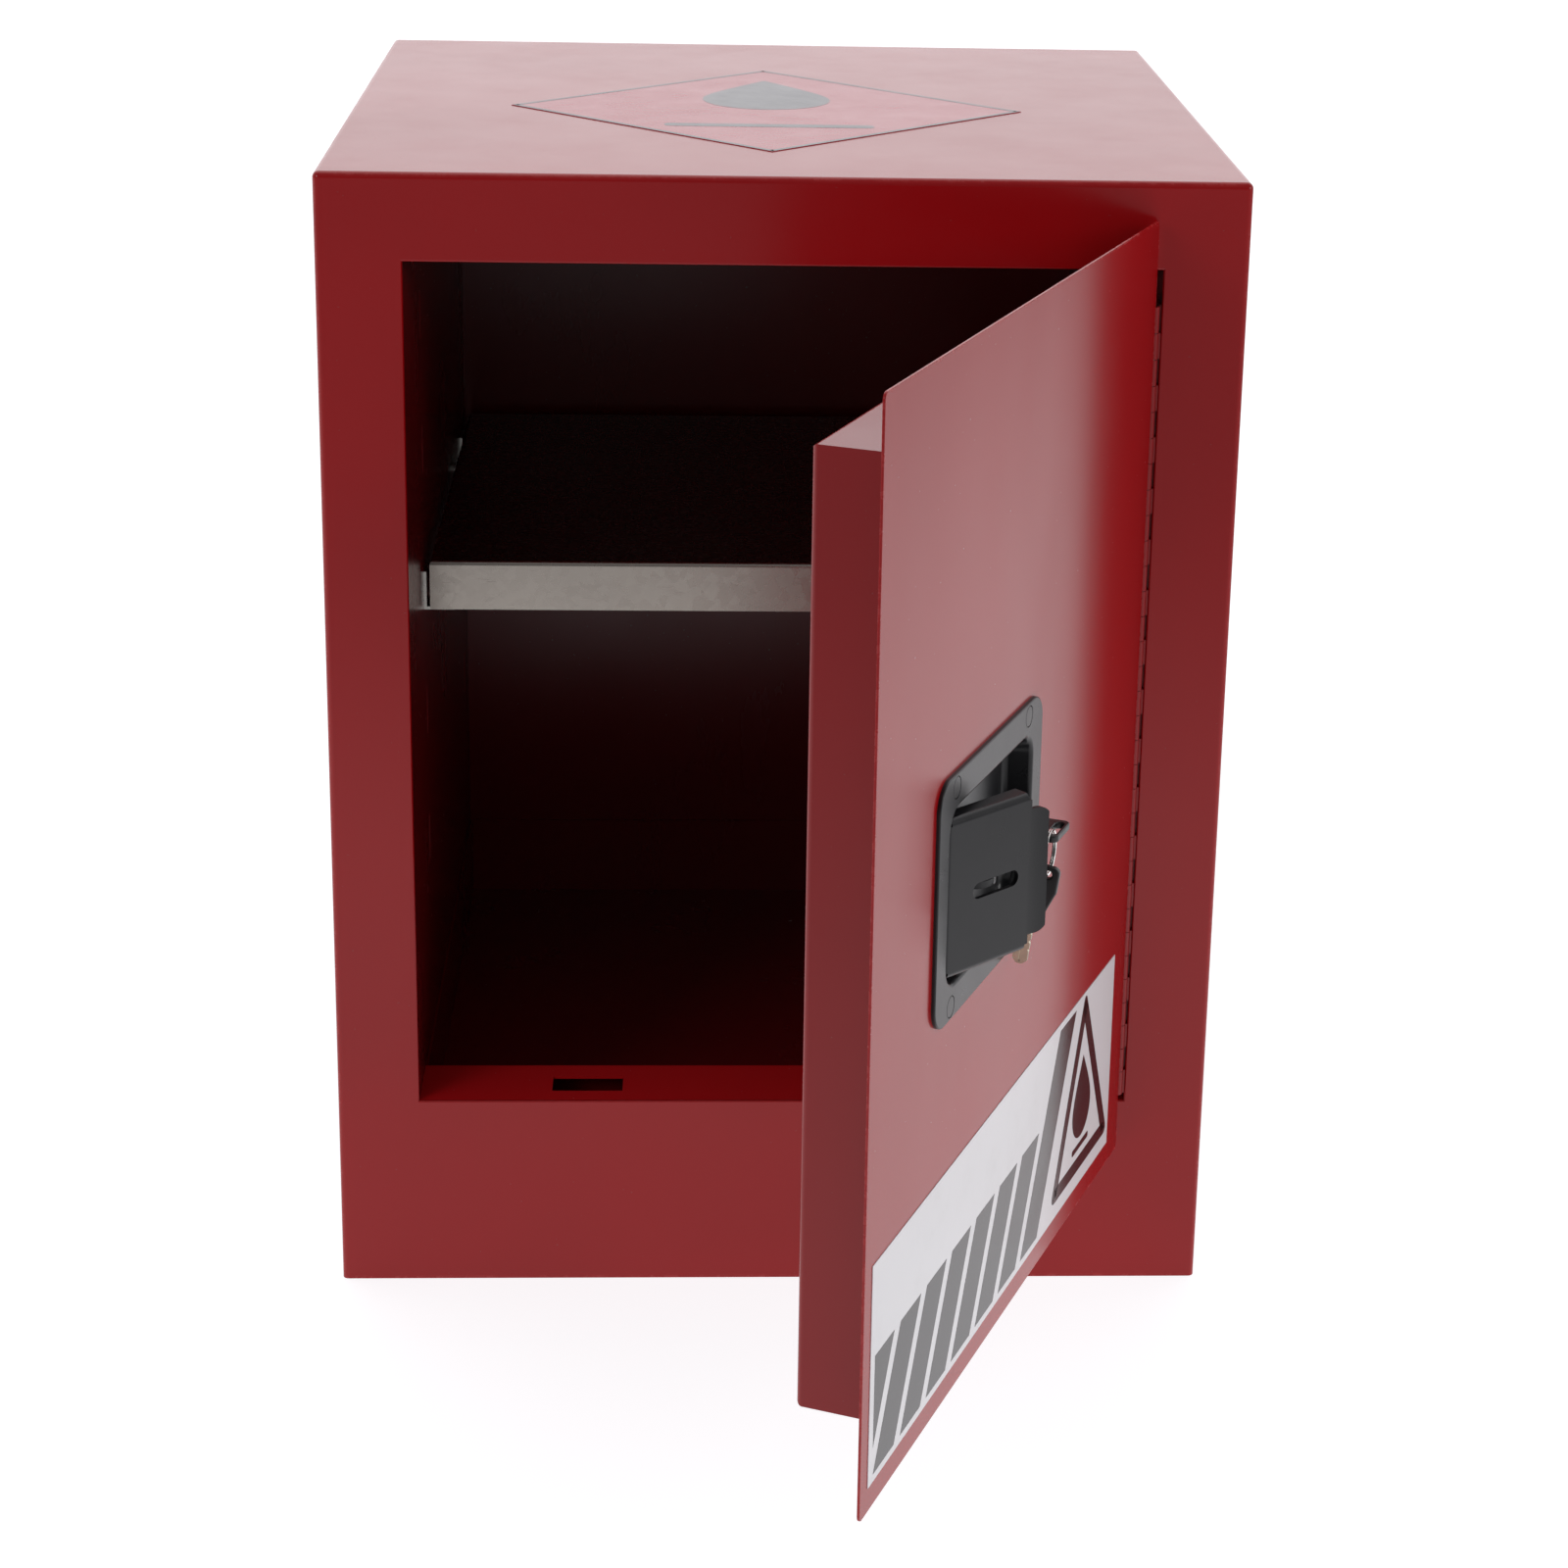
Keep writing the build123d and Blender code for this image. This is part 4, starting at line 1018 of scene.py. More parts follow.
@dataclass
class EarthPoint:
    """Stepped earthing stud with a screw thread, plain washer and hexagon nut, low on the back."""

    pitch: float = 1.25 * MM
    thread_depth: float = 0.65 * MM
    thread_radius: float = 4.0 * MM
    ridge_height: float = 0.85
    shank_radius: float = 5.0 * MM
    head_radius: float = 8.0 * MM
    head_height: float = 4.0 * MM
    bore_radius: float = 5.02 * MM
    tip_round: float = 0.4 * MM
    steps: int = 28

    def build(self) -> None:
        """Builds the stud's thread and the nut."""
        plate = BrightPlate("zinc_bright", colour=(0.62, 0.60, 0.52), roughness=0.26)
        self.stud(plate)
        self.nut(plate)
        dress_nodes({"earth_washer": plate})

    def stud(self, finish: Finish) -> None:
        """Stud with a head, a plain shank and a terminal end with thread ridges.

        Args:
            finish: its plating.
        """
        low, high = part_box("earth_stud")
        middle = (low + high) / 2
        axis = (middle.x, middle.z)
        start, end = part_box("earth_nut")[1].y - self.tip_round, high.y
        core = Bench.drum("stud_core", self.thread_radius - self.thread_depth, start, end - self.tip_round,
                          axis, 40)
        Bench.round_edges(core, self.tip_round)
        ridge = self.ridge(int((end - start - 2.2 * MM) / self.pitch))
        Bench.settle(ridge, Matrix.Translation((middle.x, start + 0.9 * MM, middle.z))
                     @ Matrix.Rotation(-math.pi / 2, 4, "X"))
        neck = low.y + self.head_height
        shank = Bench.drum("stud_shank", self.shank_radius, neck, start, axis, 40)
        head = Bench.drum("stud_head", self.head_radius, low.y, neck, axis, 48)
        Bench.round_edges(head, 0.6 * MM)
        stud = Bench.join("earth_stud_threaded", [core, ridge, shank, head])
        Bench.settle(stud, Matrix.Identity(4))
        install(stud, "cabinet", finish, ["earth_stud"])

    def ridge(self, turns: int) -> bpy.types.Object:
        """The thread's ridge round Z.

        Args:
            turns: how many turns it makes.

        Returns:
            The ridge, closed at its ends.
        """
        Bench.idle()
        bpy.ops.mesh.primitive_circle_add(vertices=3, radius=self.thread_depth,
                                          location=(self.thread_radius, 0, 0), rotation=UPRIGHT)
        ridge = Bench.adopt("stud_ridge")
        Bench.everything(ridge, Part.VERTICES)
        bpy.ops.transform.resize(value=(1.0, 1.0, self.ridge_height))
        bpy.ops.transform.translate(value=(-self.thread_depth, 0, 0))
        Bench.modify(ridge, "SCREW", axis="Z", angle=math.tau, screw_offset=self.pitch, iterations=turns,
                     steps=self.steps, render_steps=self.steps, use_merge_vertices=True,
                     merge_threshold=0.000001)
        Bench.close(ridge)
        return ridge

    def nut(self, finish: Finish) -> None:
        """Hexagon nut with chamfered corners.

        Args:
            finish: its plating.
        """
        low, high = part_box("earth_nut")
        centre = (low + high) / 2
        axis = (centre.x, centre.z)
        corner_radius = (high.x - low.x) / math.sqrt(3) - 0.1 * MM
        nut = Bench.drum("earth_nut_chamfered", corner_radius, low.y, high.y, axis, 6)
        Bench.everything(nut, Part.VERTICES)
        bpy.ops.transform.rotate(value=math.pi / 6, orient_axis="Y", center_override=centre)
        Bench.idle()
        Bench.round_edges(nut, 0.9 * MM, 3, 50.0)
        Bench.cut(nut, Bench.drum("nut_bore", self.bore_radius, low.y - CLEAR, high.y + CLEAR, axis, 40))
        Bench.settle(nut, Matrix.Identity(4))
        install(nut, "cabinet", finish, ["earth_nut"])


@dataclass
class DoorLeaf:
    """Door skin with softened edges, pan, hinge leaves and what is fixed inside the door."""

    door: DoorFrame
    skin_radius: float = 3.0 * MM
    edge_radius: float = 0.35 * MM
    cut_margin: float = 1.9 * MM
    mouth: tuple[float, float, float] = (108.0 * MM, 78.0 * MM, 11.0 * MM)

    def build(self) -> None:
        """Builds the skin and dresses the CAD nodes of the door."""
        low, high = self.door.span("door_skin")
        centre = (low + high) / 2
        # The door skin's edges get the same lighter red edge mark: partly wear, partly a painted edge
        # highlight.
        edges = EdgeBox((-high.x, low.y, low.z), (-low.x, high.y, high.z), 1.6 * MM)
        paint = GlossPaint("door_gloss_red", turn=-self.door.angle, shift=self.door.shift(), edges=edges)
        skin = Bench.plate("door_face_sheet", high.x - low.x, high.z - low.z, self.skin_radius, low.y, high.y,
                           (-centre.x, centre.z))
        dish_low, dish_high = self.door.span("latch_dish")
        dish = (dish_low + dish_high) / 2
        width, height, radius = self.mouth
        margin = self.cut_margin
        Bench.cut(skin, Bench.plate("skin_cut", width + 2 * margin, height + 2 * margin, radius + margin,
                                    low.y - CLEAR, high.y + CLEAR, (-dish.x, dish.z)))
        Bench.round_edges(skin, self.edge_radius)
        Bench.settle(skin, self.door.place(), 40.0)
        install(skin, "door", paint, ["door_skin"])
        pan = GlossPaint("door_pan_red", turn=-self.door.angle, shift=self.door.shift(),
                         colour=(0.26, 0.004, 0.006))
        leaves = GlossPaint("hinge_red", colour=(0.27, 0.006, 0.008), roughness=0.3)
        plate = RolledMetal("zinc_fittings", colour=ZINC, dull=DULL_ZINC, lines=(8.0, 8.0, 40.0),
                            turn=-self.door.angle)
        dress_nodes({
            "door_pan": pan, "hinge_door_leaf": leaves, "hinge_frame_leaf": leaves, "door_stiffener": plate,
            "paddle_pin": plate, "rocker_post": plate, "rod_guides": plate, "guide_rivets": plate,
            "lock_nut": plate, "rocker_plate": plate, "upper_rod": plate, "lower_rod": plate,
            "upper_bolt_tip": plate, "lower_bolt_tip": plate, "paddle_arm": plate, "lock_cam": plate,
            "cam_screw": plate,
        })


def softened(points: Sequence[tuple[float, float]], radii: Sequence[float],
             steps: int = 5) -> list[tuple[float, float]]:
    """A polyline whose inner corners are arcs.

    Args:
        points: its corners.
        radii: radius at each inner corner.
        steps: segments of each arc.

    Returns:
        The points of the softened line.
    """
    path = [points[0]]
    for index, radius in enumerate(radii, start=1):
        here = Vector(points[index])
        back = (Vector(points[index - 1]) - here).normalized()
        on = (Vector(points[index + 1]) - here).normalized()
        half = back.angle(on) / 2
        reach = radius / math.tan(half)
        centre = here + (back + on).normalized() * (radius / math.sin(half))
        first, last = here + back * reach - centre, here + on * reach - centre
        start = math.atan2(first.y, first.x)
        sweep = (math.atan2(last.y, last.x) - start + math.pi) % math.tau - math.pi
        for step in range(steps + 1):
            angle = start + sweep * step / steps
            path.append((centre.x + radius * math.cos(angle), centre.y + radius * math.sin(angle)))
    path.append(points[-1])
    return path


@dataclass
class LatchDish:
    """Pressed steel dish with a raised flange, sloped smooth walls and four flush rivets."""

    door: DoorFrame
    mouth_width: float = 108.0 * MM
    mouth_height: float = 78.0 * MM
    mouth_radius: float = 11.0 * MM
    flange_radius: float = 12.0 * MM
    flange_rim: float = 0.7 * MM
    wall_slope: float = 3.6 * MM
    mouth_round: float = 2.4 * MM
    floor_round: float = 4.0 * MM
    steel: float = 1.2 * MM
    rivet_radius: float = 4.6 * MM
    rivet_u: float = 47.5 * MM
    rivet_z: float = 48.0 * MM
    rivet_head: float = 1.6 * MM
    rivet_round: float = 0.35 * MM
    rivet_gap: float = 0.25 * MM
    floor_gap: float = 1.4 * MM
    tray_lap: float = 0.6 * MM
    lock_radius: float = 7.6 * MM
    arm_slot: tuple[float, float, float] = (17.0 * MM, 5.0 * MM, 4.5 * MM)

    def build(self, black: Finish) -> None:
        """Builds the dish and its rivet heads.

        Args:
            black: the coating.
        """
        low, high = self.door.span("latch_dish")
        centre = (low + high) / 2
        face, seat = low.y, self.door.span("door_skin")[0].y
        floor = self.door.span("lock_nut")[0].y - self.floor_gap
        dish = self.pressing(high.x - low.x, high.z - low.z, face, seat, floor)
        self.openings(dish, centre, floor)
        Bench.settle(dish, self.door.place(centre.x, 0.0, centre.z), 40.0)
        install(dish, "door", black, ["latch_dish"])
        heads = []
        for side, end in CORNERS:
            head = Bench.drum("rivet", self.rivet_radius, face, face + self.rivet_head,
                              (side * self.rivet_u, end * self.rivet_z), 40)
            Bench.round_edges(head, self.rivet_round, 3)
            heads.append(head)
        rivets = Bench.join("dish_rivet_heads", heads)
        Bench.settle(rivets, self.door.place(centre.x, 0.0, centre.z), 40.0)
        install(rivets, "door", black, ["dish_rivets"])

    def pressing(self, width: float, height: float, face: float, seat: float,
                 floor: float) -> bpy.types.Object:
        """The pressed sheet before its holes are cut.

        Args:
            width: of the flange.
            height: of the flange.
            face: Y of the flange face.
            seat: Y where the flange meets the door.
            floor: Y of the dish floor.

        Returns:
            The closed sheet, centred on X and Z.
        """
        dish = Bench.plate("pressed_latch_dish", width, height, self.flange_radius, face, seat, (0, 0), 14)
        Bench.pick(dish, Part.EDGES, lambda middle, direction: middle.y < face + HAIR)
        bpy.ops.mesh.bevel(offset=self.flange_rim, segments=4, affect="EDGES")
        Bench.leave()
        steel, grow, deep = self.steel, self.mouth_round, floor - face
        under = deep + steel - self.tray_lap
        tray = softened([(0.0, 0.0), (self.wall_slope, under), (self.wall_slope + 6 * MM, under)],
                        [self.floor_round + steel])
        Bench.add(dish, Bench.punch("tray", self.mouth_width + 2 * steel, self.mouth_height + 2 * steel,
                                    self.mouth_radius + steel, face + 0.5 * MM, face + self.tray_lap, tray))
        hollow = softened([(0.0, 0.0), (grow, 0.0), (grow + self.wall_slope, deep),
                           (grow + self.wall_slope + 5 * MM, deep)], [self.mouth_round, self.floor_round])
        Bench.cut(dish, Bench.punch("hollow", self.mouth_width + 2 * grow, self.mouth_height + 2 * grow,
                                    self.mouth_radius + grow, face - 2 * MM, face - 0.002 * MM, hollow))
        return dish

    def openings(self, dish: bpy.types.Object, centre: Vector, floor: float) -> None:
        """Cuts the lock hole, the arm slot and the rivet pockets.

        Args:
            dish: the pressed sheet.
            centre: dish centre in door coordinates.
            floor: Y of the dish floor.
        """
        lock, arm, pin = (self.door.span(node) for node in ("lock_housing", "paddle_arm", "paddle_pin"))
        lock_x = centre.x - (lock[0].x + lock[1].x) / 2
        pivot_x = centre.x - (pin[0].x + pin[1].x) / 2
        length, width, ahead = self.arm_slot
        beyond = floor + 8 * MM
        Bench.cut(
            dish,
            Bench.drum("lock_hole", self.lock_radius, floor - 3 * MM, beyond, (lock_x, 0.0)),
            Bench.plate("arm_slot", length, width, 1.0 * MM, floor - 3.2 * MM, beyond,
                        (pivot_x + ahead, (arm[0].z + arm[1].z) / 2 - centre.z), 3),
            *(Bench.drum("rivet_pocket", self.rivet_radius + self.rivet_gap, -CLEAR, -2.4 * MM,
                         (side * self.rivet_u, end * self.rivet_z)) for side, end in CORNERS))


@dataclass
class Paddle:
    """Pull paddle: pressed plate with rolled long edges, a flared pull lip, a slot and two pivot barrels."""

    door: DoorFrame
    flat: float = 46.0 * MM
    half_height: float = 35.0 * MM
    face: float = -5.0 * MM
    bend: float = 3.0 * MM
    flange: float = 8.5 * MM
    thickness: float = 2.0 * MM
    lip_radius: float = 30.0 * MM
    lip_turn: float = 20.0
    lip_half_height: float = 28.0 * MM
    lip_corner: float = 6.0 * MM
    shoulder: float = 3.0 * MM
    slot: tuple[float, float, float] = (27.0 * MM, 7.0 * MM, 27.0 * MM)
    raised: float = 25.0
    barrel: tuple[float, float, float] = (3.6 * MM, 22.0 * MM, 31.0 * MM)
    body_length: float = 57.5 * MM
    body_middle: float = 18.75 * MM
    lip_from: float = 10.0 * MM
    edge_round: float = 0.55 * MM
    root_turn: float = 65.0

    def build(self, black: Finish) -> None:
        """Builds the paddle.

        Args:
            black: the coating.
        """
        low, high = self.door.span("paddle_pin")
        pivot = (low + high) / 2
        paddle = self.plate()
        silhouette = self.silhouette()
        Bench.modify(paddle, "BOOLEAN", object=silhouette, operation="INTERSECT", solver="EXACT")
        bpy.data.objects.remove(silhouette)
        length, width, middle = self.slot
        Bench.cut(paddle, Bench.plate("paddle_slot", length, width, width * 0.499, self.face - CLEAR,
                                      self.face + CLEAR, (middle, 0.0), 12))
        Bench.round_edges(paddle, self.edge_round, 3, 40.0)
        barrels = []
        radius, inner, outer = self.barrel
        for side in (-1, 1):
            Bench.idle()
            bpy.ops.mesh.primitive_cylinder_add(vertices=40, radius=radius, depth=outer - inner,
                                                location=(0, 0, side * (inner + outer) / 2))
            barrel = Bench.adopt("barrel")
            Bench.round_edges(barrel, 0.4 * MM)
            barrels.append(barrel)
        paddle = Bench.join("pull_paddle", [paddle, *barrels])
        Bench.settle(paddle, self.door.place(pivot.x, pivot.y, pivot.z, -math.radians(self.raised)), 35.0)
        install(paddle, "paddle", black, ["paddle_plate"])

    def silhouette(self) -> bpy.types.Object:
        """The paddle's outline as a deep block: a body with rounded shoulders and a narrower lip.

        Returns:
            The closed block.
        """
        deep = 3 * CLEAR
        end = self.flat + self.lip_radius * math.sin(math.radians(self.lip_turn)) + 1 * MM
        body = Bench.plate("body_shape", self.body_length, 2 * self.half_height + 2 * MM, self.shoulder,
                           -deep, deep, (self.body_middle, 0.0), 6)
        lip = Bench.plate("lip_shape", end - self.lip_from, 2 * self.lip_half_height, self.lip_corner,
                          -deep, deep, ((end + self.lip_from) / 2, 0.0), 10)
        Bench.add(body, lip)
        return body

    def plate(self) -> bpy.types.Object:
        """The bent plate in the paddle's own axes: X from the pivot to the lip, Y into the door.

        Returns:
            The plate with its thickness.
        """
        root = self.half_height - self.bend
        flat, face = self.flat, self.face
        plate = Bench.sheet("paddle_sheet", flat, 2 * root, (flat / 2, face, 0))
        for side in (-1, 1):
            Bench.pick(plate, Part.EDGES, lambda middle, direction: abs(middle.z - side * root) < HAIR)
            bpy.ops.mesh.spin(steps=6, angle=side * math.pi / 2, center=(0, face + self.bend, side * root),
                              axis=(1, 0, 0))
            bpy.ops.mesh.extrude_edges_move(TRANSFORM_OT_translate={"value": (0, self.flange - self.bend, 0)})
            Bench.leave()
        for x, steps, turn, offset in ((flat, 14, self.lip_turn, -self.lip_radius),
                                       (0.0, 5, self.root_turn, self.bend)):
            Bench.pick(plate, Part.EDGES, lambda middle, direction: abs(middle.x - x) < HAIR
                       and abs(middle.y - face) < HAIR)
            bpy.ops.mesh.spin(steps=steps, angle=math.radians(turn), center=(x, face + offset, 0),
                              axis=(0, 0, 1))
            Bench.leave()
        Bench.tidy(plate)
        flat_face = min(plate.data.polygons, key=lambda f: (f.center - Vector((flat / 2, face, 0))).length)
        if flat_face.normal.y > 0:
            Bench.everything(plate)
            bpy.ops.mesh.flip_normals()
            Bench.leave()
        Bench.modify(plate, "SOLIDIFY", thickness=self.thickness, offset=-1.0, use_even_offset=True)
        return plate


@dataclass
class LockAndKeys:
    """Cylinder lock, key in the lock, coiled split ring and the spare key on it."""

    door: DoorFrame
    wire_radial: float = 1.3 * MM
    wire_axial: float = 0.84 * MM
    turns: float = 1.97
    mean_radius: float = 9.65 * MM
    steps: int = 72
    twist: float = 3.0
    roll: float = 140.0
    coil_gap: float = 0.02 * MM

    def build(self, black: Finish) -> None:
        """Builds the ring and dresses the keys and lock.

        Args:
            black: coating of the padlock tab.
        """
        nickel = BrightPlate("lock_nickel", colour=(0.62, 0.61, 0.59), roughness=0.16)
        plastic = MouldedPlastic("key_plastic_black")
        silver = BrightPlate("key_nickel_silver", colour=(0.60, 0.55, 0.42), roughness=0.28)
        dress_nodes({
            "lock_housing": nickel, "lock_plug": nickel, "key_bow": plastic, "spare_key_bow": plastic,
            "key_blade": silver, "spare_key_blade": silver, "padlock_tab": black,
        })
        self.ring()

    def ring(self) -> None:
        """A split ring coiled from flattened wire."""
        ring = Bench.sheet("coiled_split_ring", self.wire_radial, self.wire_axial, (self.mean_radius, 0, 0))
        Bench.everything(ring, Part.VERTICES)
        bpy.ops.mesh.bevel(offset=self.wire_axial * 0.32, segments=3, affect="VERTICES")
        bpy.ops.mesh.select_all(action="SELECT")
        bpy.ops.mesh.delete(type="ONLY_FACE")
        Bench.leave()
        rise = (self.wire_axial + self.coil_gap) * self.turns
        steps = int(self.steps * self.turns)
        Bench.modify(ring, "SCREW", axis="Z", angle=math.tau * self.turns, screw_offset=rise, steps=steps,
                     render_steps=steps)
        Bench.close(ring)
        joints = {joint["name"]: joint for joint in frame["joints"]}
        low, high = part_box("key_ring")
        centre = (low + high) / 2
        hang = self.door.uvz(centre)
        place = self.door.place(hang.x, hang.y, hang.z, math.radians(self.twist))
        stand = Matrix.Rotation(math.pi / 2, 4, "X") @ Matrix.Translation((0, 0, -rise / 2))
        Bench.settle(ring, place @ Matrix.Rotation(math.radians(self.roll), 4, "Y") @ stand, 50.0)
        steel = BrightPlate("ring_steel", colour=(0.78, 0.77, 0.75), roughness=0.12)
        install(ring, joints["ring_hang"]["child"], steel, ["key_ring"])


@dataclass
class DoorPrint:
    """White door label with slanted bars and a plain mark in a rounded triangle."""

    door: DoorFrame
    film: float = 0.05 * MM
    bar_pitch: float = 32.4 * MM
    bar_width: float = 24.8 * MM
    slant: float = 0.55
    first_bar: float = 356.4 * MM
    bar_low: float = 88.9 * MM
    bar_high: float = 143.5 * MM
    long_bar_high: float = 182.5 * MM
    free_limit: float = 357.0 * MM
    bars: int = 8
    sheet_width: float = 250.0 * MM
    sign_u: float = 70.5 * MM
    sign_low: float = 93.5 * MM
    sign_high: float = 187.0 * MM
    sign_half_width: float = 46.0 * MM
    sign_corner: float = 6.0 * MM
    sign_line: float = 7.4 * MM
    drop_z: float = 125.5 * MM
    drop_radius: float = 14.5 * MM
    drop_tip: float = 28.0 * MM
    dash_size: tuple[float, float, float] = (26.0 * MM, 3.2 * MM, 1.2 * MM)
    dash_z: float = 106.5 * MM

    def build(self) -> None:
        """Builds the print on the label."""
        dress(frame["nodes"]["door_label"], Vinyl("label_white"))
        ink = Vinyl("label_ink", colour=(0.014, 0.011, 0.013), soiled=(0.03, 0.027, 0.03), roughness=0.14,
                    ripple=0.0001)
        face = self.door.span("door_label")[0].y
        marks = {
            "label_bars": [self.bar(index, face) for index in range(self.bars)],
            "label_triangle": [self.triangle(face), self.drop(face), self.dash(face)],
        }
        for name, shapes in marks.items():
            printed = Bench.join(name, shapes)
            Bench.settle(printed, self.door.place(), None)
            install(printed, "door", ink)

    def bar(self, index: int, face: float) -> bpy.types.Object:
        """One slanted bar, cut from a sheet by its straight edges.

        Args:
            index: 0 is the clipped bar at the free edge.
            face: Y of the label's face.

        Returns:
            The bar.
        """
        top = self.long_bar_high if index == self.bars - 1 else self.bar_high
        u0 = self.first_bar - (index - 1) * self.bar_pitch
        u1 = u0 - self.bar_width
        z0 = self.bar_low
        bar = Bench.sheet(f"bar_{index}", self.sheet_width, top - z0, (-u0 + CLEAR, face, (z0 + top) / 2))
        Bench.everything(bar)
        lean = Vector((1.0, 0.0, -self.slant)).normalized()
        for x, outward in ((-u0, -lean), (-u1, lean), (-self.free_limit, Vector((-1, 0, 0)))):
            bpy.ops.mesh.select_all(action="SELECT")
            bpy.ops.mesh.bisect(plane_co=(x, face, z0), plane_no=outward, clear_outer=True)
        return self.thicken(bar)

    def thicken(self, sheet: bpy.types.Object) -> bpy.types.Object:
        """Gives flat print its film thickness, toward -Y.

        Args:
            sheet: flat piece in edit mode.

        Returns:
            The piece, closed.
        """
        bpy.ops.mesh.select_all(action="SELECT")
        Bench.push(-self.film)
        Bench.tidy(sheet)
        return sheet

    def triangle(self, face: float) -> bpy.types.Object:
        """Rounded triangle outline.

        Args:
            face: Y of the label's face.

        Returns:
            The outline.
        """
        half, rise = self.sign_half_width, self.sign_high - self.sign_low
        middle = (self.sign_low + self.sign_high) / 2
        sign = Bench.sheet("triangle", 2 * half, rise, (-self.sign_u, face, middle))
        Bench.everything(sign)
        for side in (-1, 1):
            bpy.ops.mesh.select_all(action="SELECT")
            bpy.ops.mesh.bisect(plane_co=(-self.sign_u + side * half, face, self.sign_low),
                                plane_no=Vector((side * rise, 0, half)).normalized(), clear_outer=True)
        Bench.leave()
        Bench.tidy(sign)
        Bench.everything(sign, Part.VERTICES)
        bpy.ops.mesh.bevel(offset=self.sign_corner, segments=8, affect="VERTICES")
        Bench.leave()
        Bench.everything(sign)
        bpy.ops.mesh.inset(thickness=self.sign_line, depth=0.0)
        bpy.ops.mesh.delete(type="FACE")
        return self.thicken(sign)

    def drop(self, face: float) -> bpy.types.Object:
        """A plain drop.

        Args:
            face: Y of the label's face.

        Returns:
            The drop.
        """
        z, radius = self.drop_z, self.drop_radius
        mark = Bench.disc("drop", radius, (-self.sign_u, face, z), 48)
        Bench.raise_tip(mark, z + radius * 0.995, self.drop_tip - radius, radius * 1.25)
        return self.thicken(mark)

    def dash(self, face: float) -> bpy.types.Object:
        """A short dash under the drop."""
        return self.thicken(Bench.outline("dash", *self.dash_size, (-self.sign_u, face, self.dash_z), 4))


@dataclass
class TopPrint:
    """Diamond label on the top: bordered film with a plain drop and a dash."""

    film: float = 0.05 * MM
    border: float = 3.0 * MM
    edge: float = 0.4 * MM
    drop_z: float = 28.0 * MM
    drop_radius: float = 33.0 * MM
    drop_rise: float = 32.0 * MM
    drop_reach: float = 40.0 * MM
    dash_size: tuple[float, float, float] = (104.0 * MM, 9.0 * MM, 3.0 * MM)
    dash_z: float = -55.0 * MM

    def build(self) -> None:
        """Builds the label's border and mark."""
        red = Vinyl("label_red", colour=(0.40, 0.03, 0.05), soiled=(0.36, 0.035, 0.05), roughness=0.24)
        ink = Vinyl("top_label_ink", colour=(0.05, 0.045, 0.055), soiled=(0.08, 0.07, 0.08), roughness=0.25)
        dress(frame["nodes"]["top_label"], red)
        low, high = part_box("top_label")
        centre = (low + high) / 2
        side = (high.x - low.x) / math.sqrt(2) - self.edge
        place = Matrix.Translation((centre.x, centre.y, high.z)) @ Matrix.Rotation(-math.pi / 2, 4, "X")
        rim = Bench.outline("top_label_border", side, side, 1.0 * MM, (0, 0, 0), 4)
        bpy.ops.mesh.inset(thickness=self.border, depth=0.0)
        bpy.ops.mesh.delete(type="FACE")
        self.finish(rim, place @ Matrix.Rotation(math.pi / 4, 4, "Y"), ink)
        mark = Bench.disc("top_label_drop", self.drop_radius, (0, 0, self.drop_z), 64)
        Bench.raise_tip(mark, self.drop_z + self.drop_radius - 0.1 * MM, self.drop_rise, self.drop_reach)
        dash = Bench.outline("top_label_dash", *self.dash_size, (0, 0, self.dash_z), 4)
        self.finish(mark, place, ink)
        self.finish(dash, place, ink)

    def finish(self, piece: bpy.types.Object, place: Matrix, ink: Finish) -> None:
        """Thickens a flat mark and installs it.

        Args:
            piece: flat mark facing -Y.
            place: to the frame's coordinates.
            ink: its finish.
        """
        Bench.everything(piece)
        Bench.push(-self.film)
        Bench.settle(piece, place, None)
        Bench.tidy(piece)
        Bench.idle()
        install(piece, "cabinet", ink)


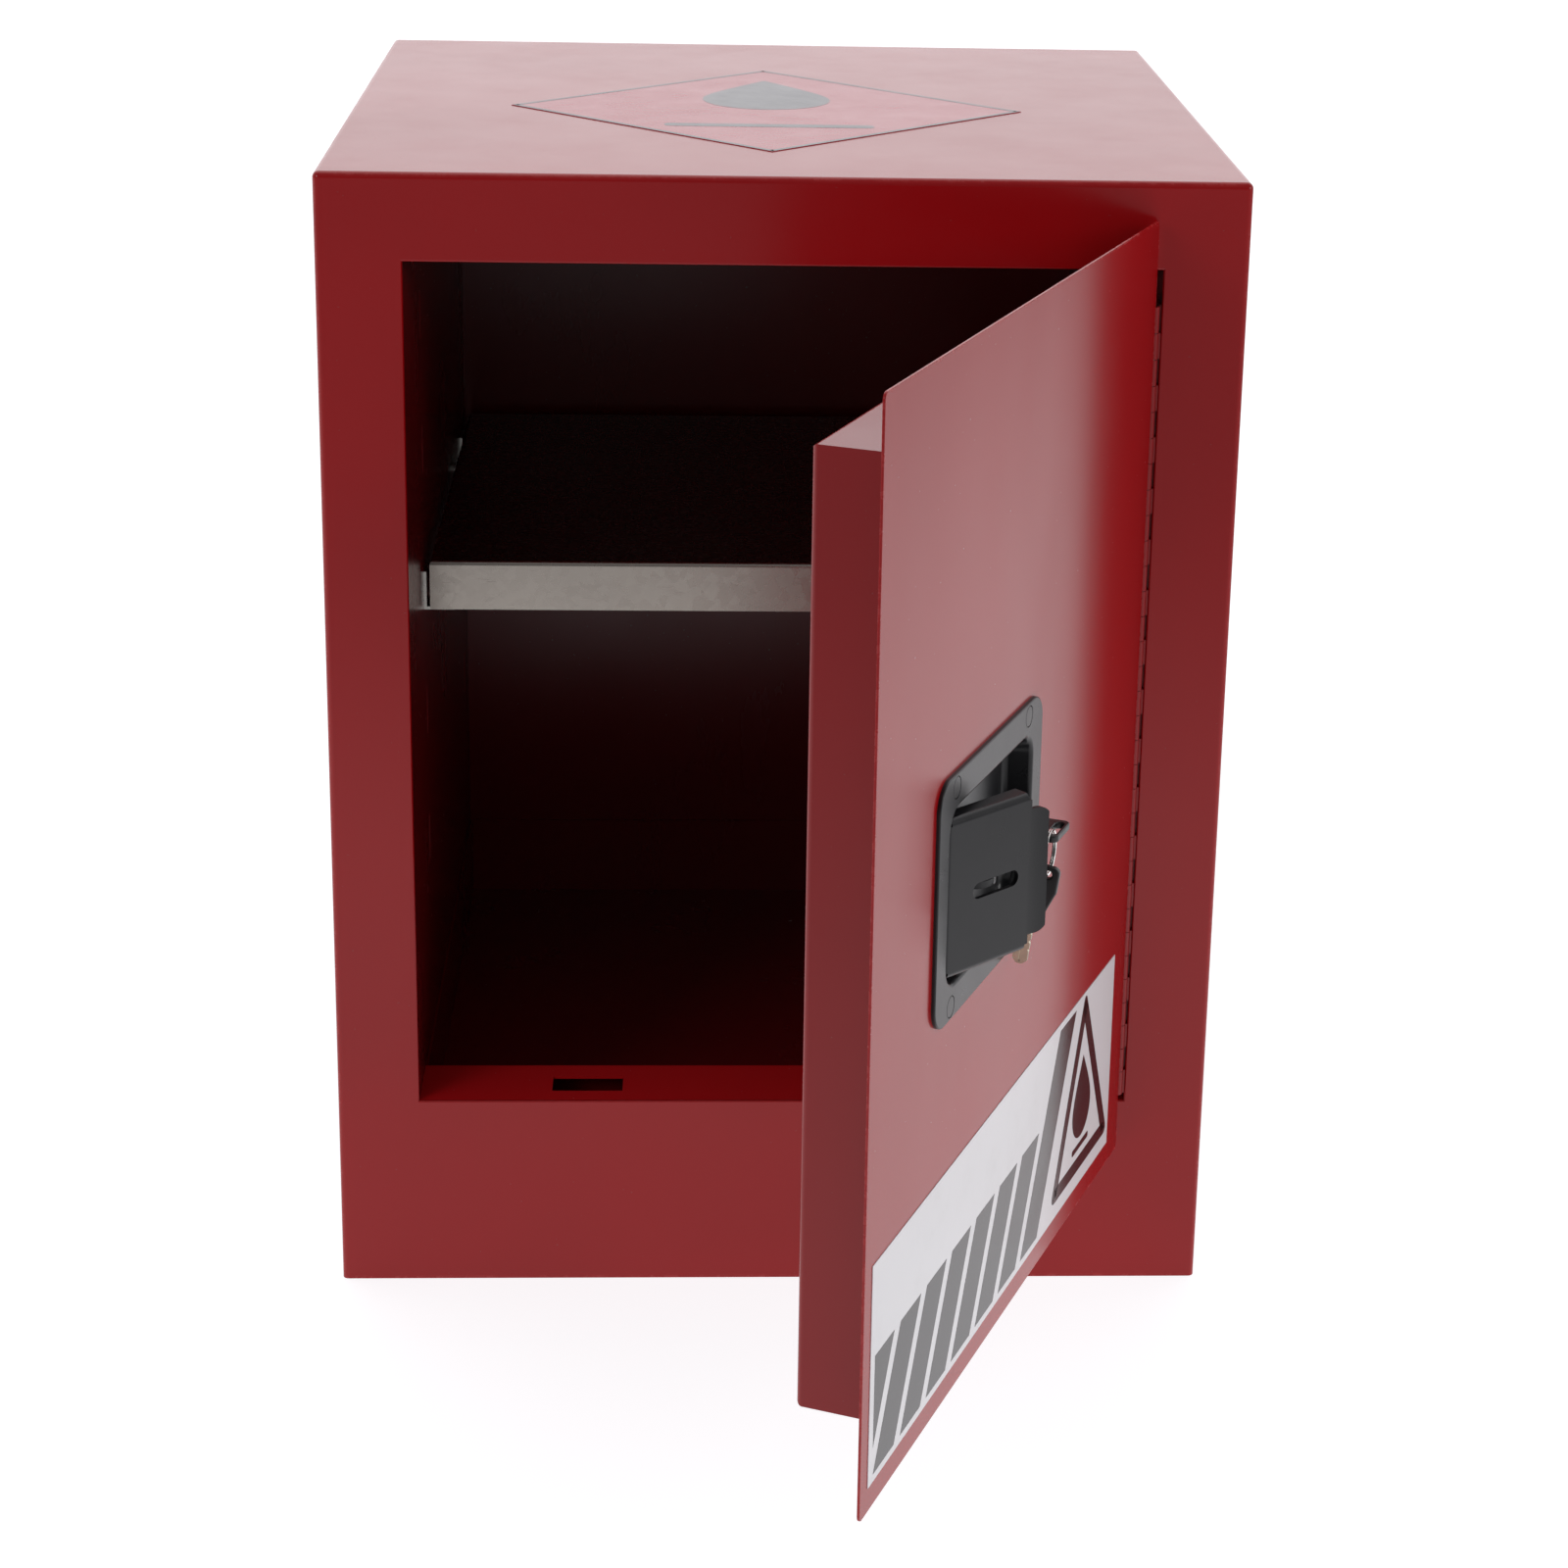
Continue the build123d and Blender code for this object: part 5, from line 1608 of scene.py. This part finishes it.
# ------------------------------------------------------------------ studio
@dataclass
class Studio:
    """Floor, soft lights, surround and camera."""

    eye: Colour = (-0.040, -1.747, 0.833)
    yaw: float = -2.96
    pitch: float = -17.64
    roll: float = -1.25
    lens: float = 77.74
    shift: tuple[float, float] = (-0.05, -0.10)
    floor_size: float = 40.0
    sky: Colour = (0.985, 0.98, 1.0)

    def build(self) -> None:
        """Builds the studio."""
        bpy.context.scene.view_settings.view_transform = "Standard"
        self.floor()
        self.surround()
        self.lights()
        self.camera()

    def floor(self) -> None:
        """A large plain floor that glows with painted light."""
        Bench.idle()
        bpy.ops.mesh.primitive_plane_add(size=self.floor_size, location=(0, 0, 0))
        floor = Bench.adopt("studio_floor")
        Bench.everything(floor)
        bpy.ops.mesh.subdivide(number_cuts=3)
        Bench.idle()
        dress(floor, StudioFloor("studio_floor_painted_glow"))

    def surround(self) -> None:
        """A soft surround: bright behind and above the cabinet, dimmer on the viewer's side."""
        world = bpy.data.worlds.new("studio_surround")
        bpy.context.scene.world = world
        graph = Graph(world)
        toward = graph.node("ShaderNodeTexCoord", output="Generated")
        y, z = graph.axis(toward, 1), graph.axis(toward, 2)
        glow = 0.17 + y.above(-0.25, 0.75) * 1.12 + z.above(0.2, 1.0) * 0.15
        sky = graph.node("ShaderNodeBackground", {}, {0: self.sky, 1: glow})
        graph.node("ShaderNodeOutputWorld", {}, {0: sky})

    def lights(self) -> None:
        """Softboxes above, left and right, for the contact shadow and the edge highlights."""
        self.softbox("overhead_softbox", (-0.5, 0.3, 2.6), (0.0, 0.0, 0.2), 1.8, 7.0)
        self.softbox("left_softbox", (-1.9, -2.2, 1.7), (0.0, 0.0, 0.3), 1.2, 13.0)
        self.softbox("right_softbox", (2.4, -1.5, 1.3), (0.1, -0.4, 0.3), 1.0, 15.0)

    def softbox(self, name: str, at: Colour, toward: Colour, size: float, power: float) -> None:
        """One square area light.

        Args:
            name: its name.
            at: its place.
            toward: the point it faces.
            size: its side.
            power: watts.
        """
        light = bpy.data.lights.new(name, "AREA")
        light.shape = "SQUARE"
        light.size = size
        light.energy = power
        lamp = bpy.data.objects.new(name, light)
        bpy.context.scene.collection.objects.link(lamp)
        lamp.location = at
        lamp.rotation_euler = (Vector(toward) - Vector(at)).to_track_quat("-Z", "Y").to_euler()
        lamp.visible_camera = False

    def camera(self) -> None:
        """The camera at the viewing angle."""
        data = bpy.data.cameras.new("view")
        data.sensor_width = 36.0
        data.lens = self.lens
        data.shift_x, data.shift_y = self.shift
        data.clip_start = 0.01
        camera = bpy.data.objects.new("view", data)
        bpy.context.scene.collection.objects.link(camera)
        turn = Matrix.Rotation(math.radians(self.yaw), 4, "Z")
        turn = turn @ Matrix.Rotation(math.radians(self.pitch), 4, "X")
        turn = turn @ Matrix.Rotation(math.radians(self.roll), 4, "Y") @ Matrix.Rotation(math.pi / 2, 4, "X")
        camera.matrix_world = Matrix.Translation(self.eye) @ turn
        bpy.context.scene.camera = camera


def main() -> None:
    """Builds everything in order."""
    logging.basicConfig(level=logging.INFO, format="%(message)s")
    Studio().build()
    door = DoorFrame.from_record()
    black = SatinBlack("latch_satin_black")
    CabinetBody().build()
    Shelf().build()
    EarthPoint().build()
    DoorLeaf(door).build()
    LatchDish(door).build(black)
    Paddle(door).build(black)
    LockAndKeys(door).build(black)
    DoorPrint(door).build()
    TopPrint().build()
    Bench.idle()


if __name__ == "__main__":
    main()
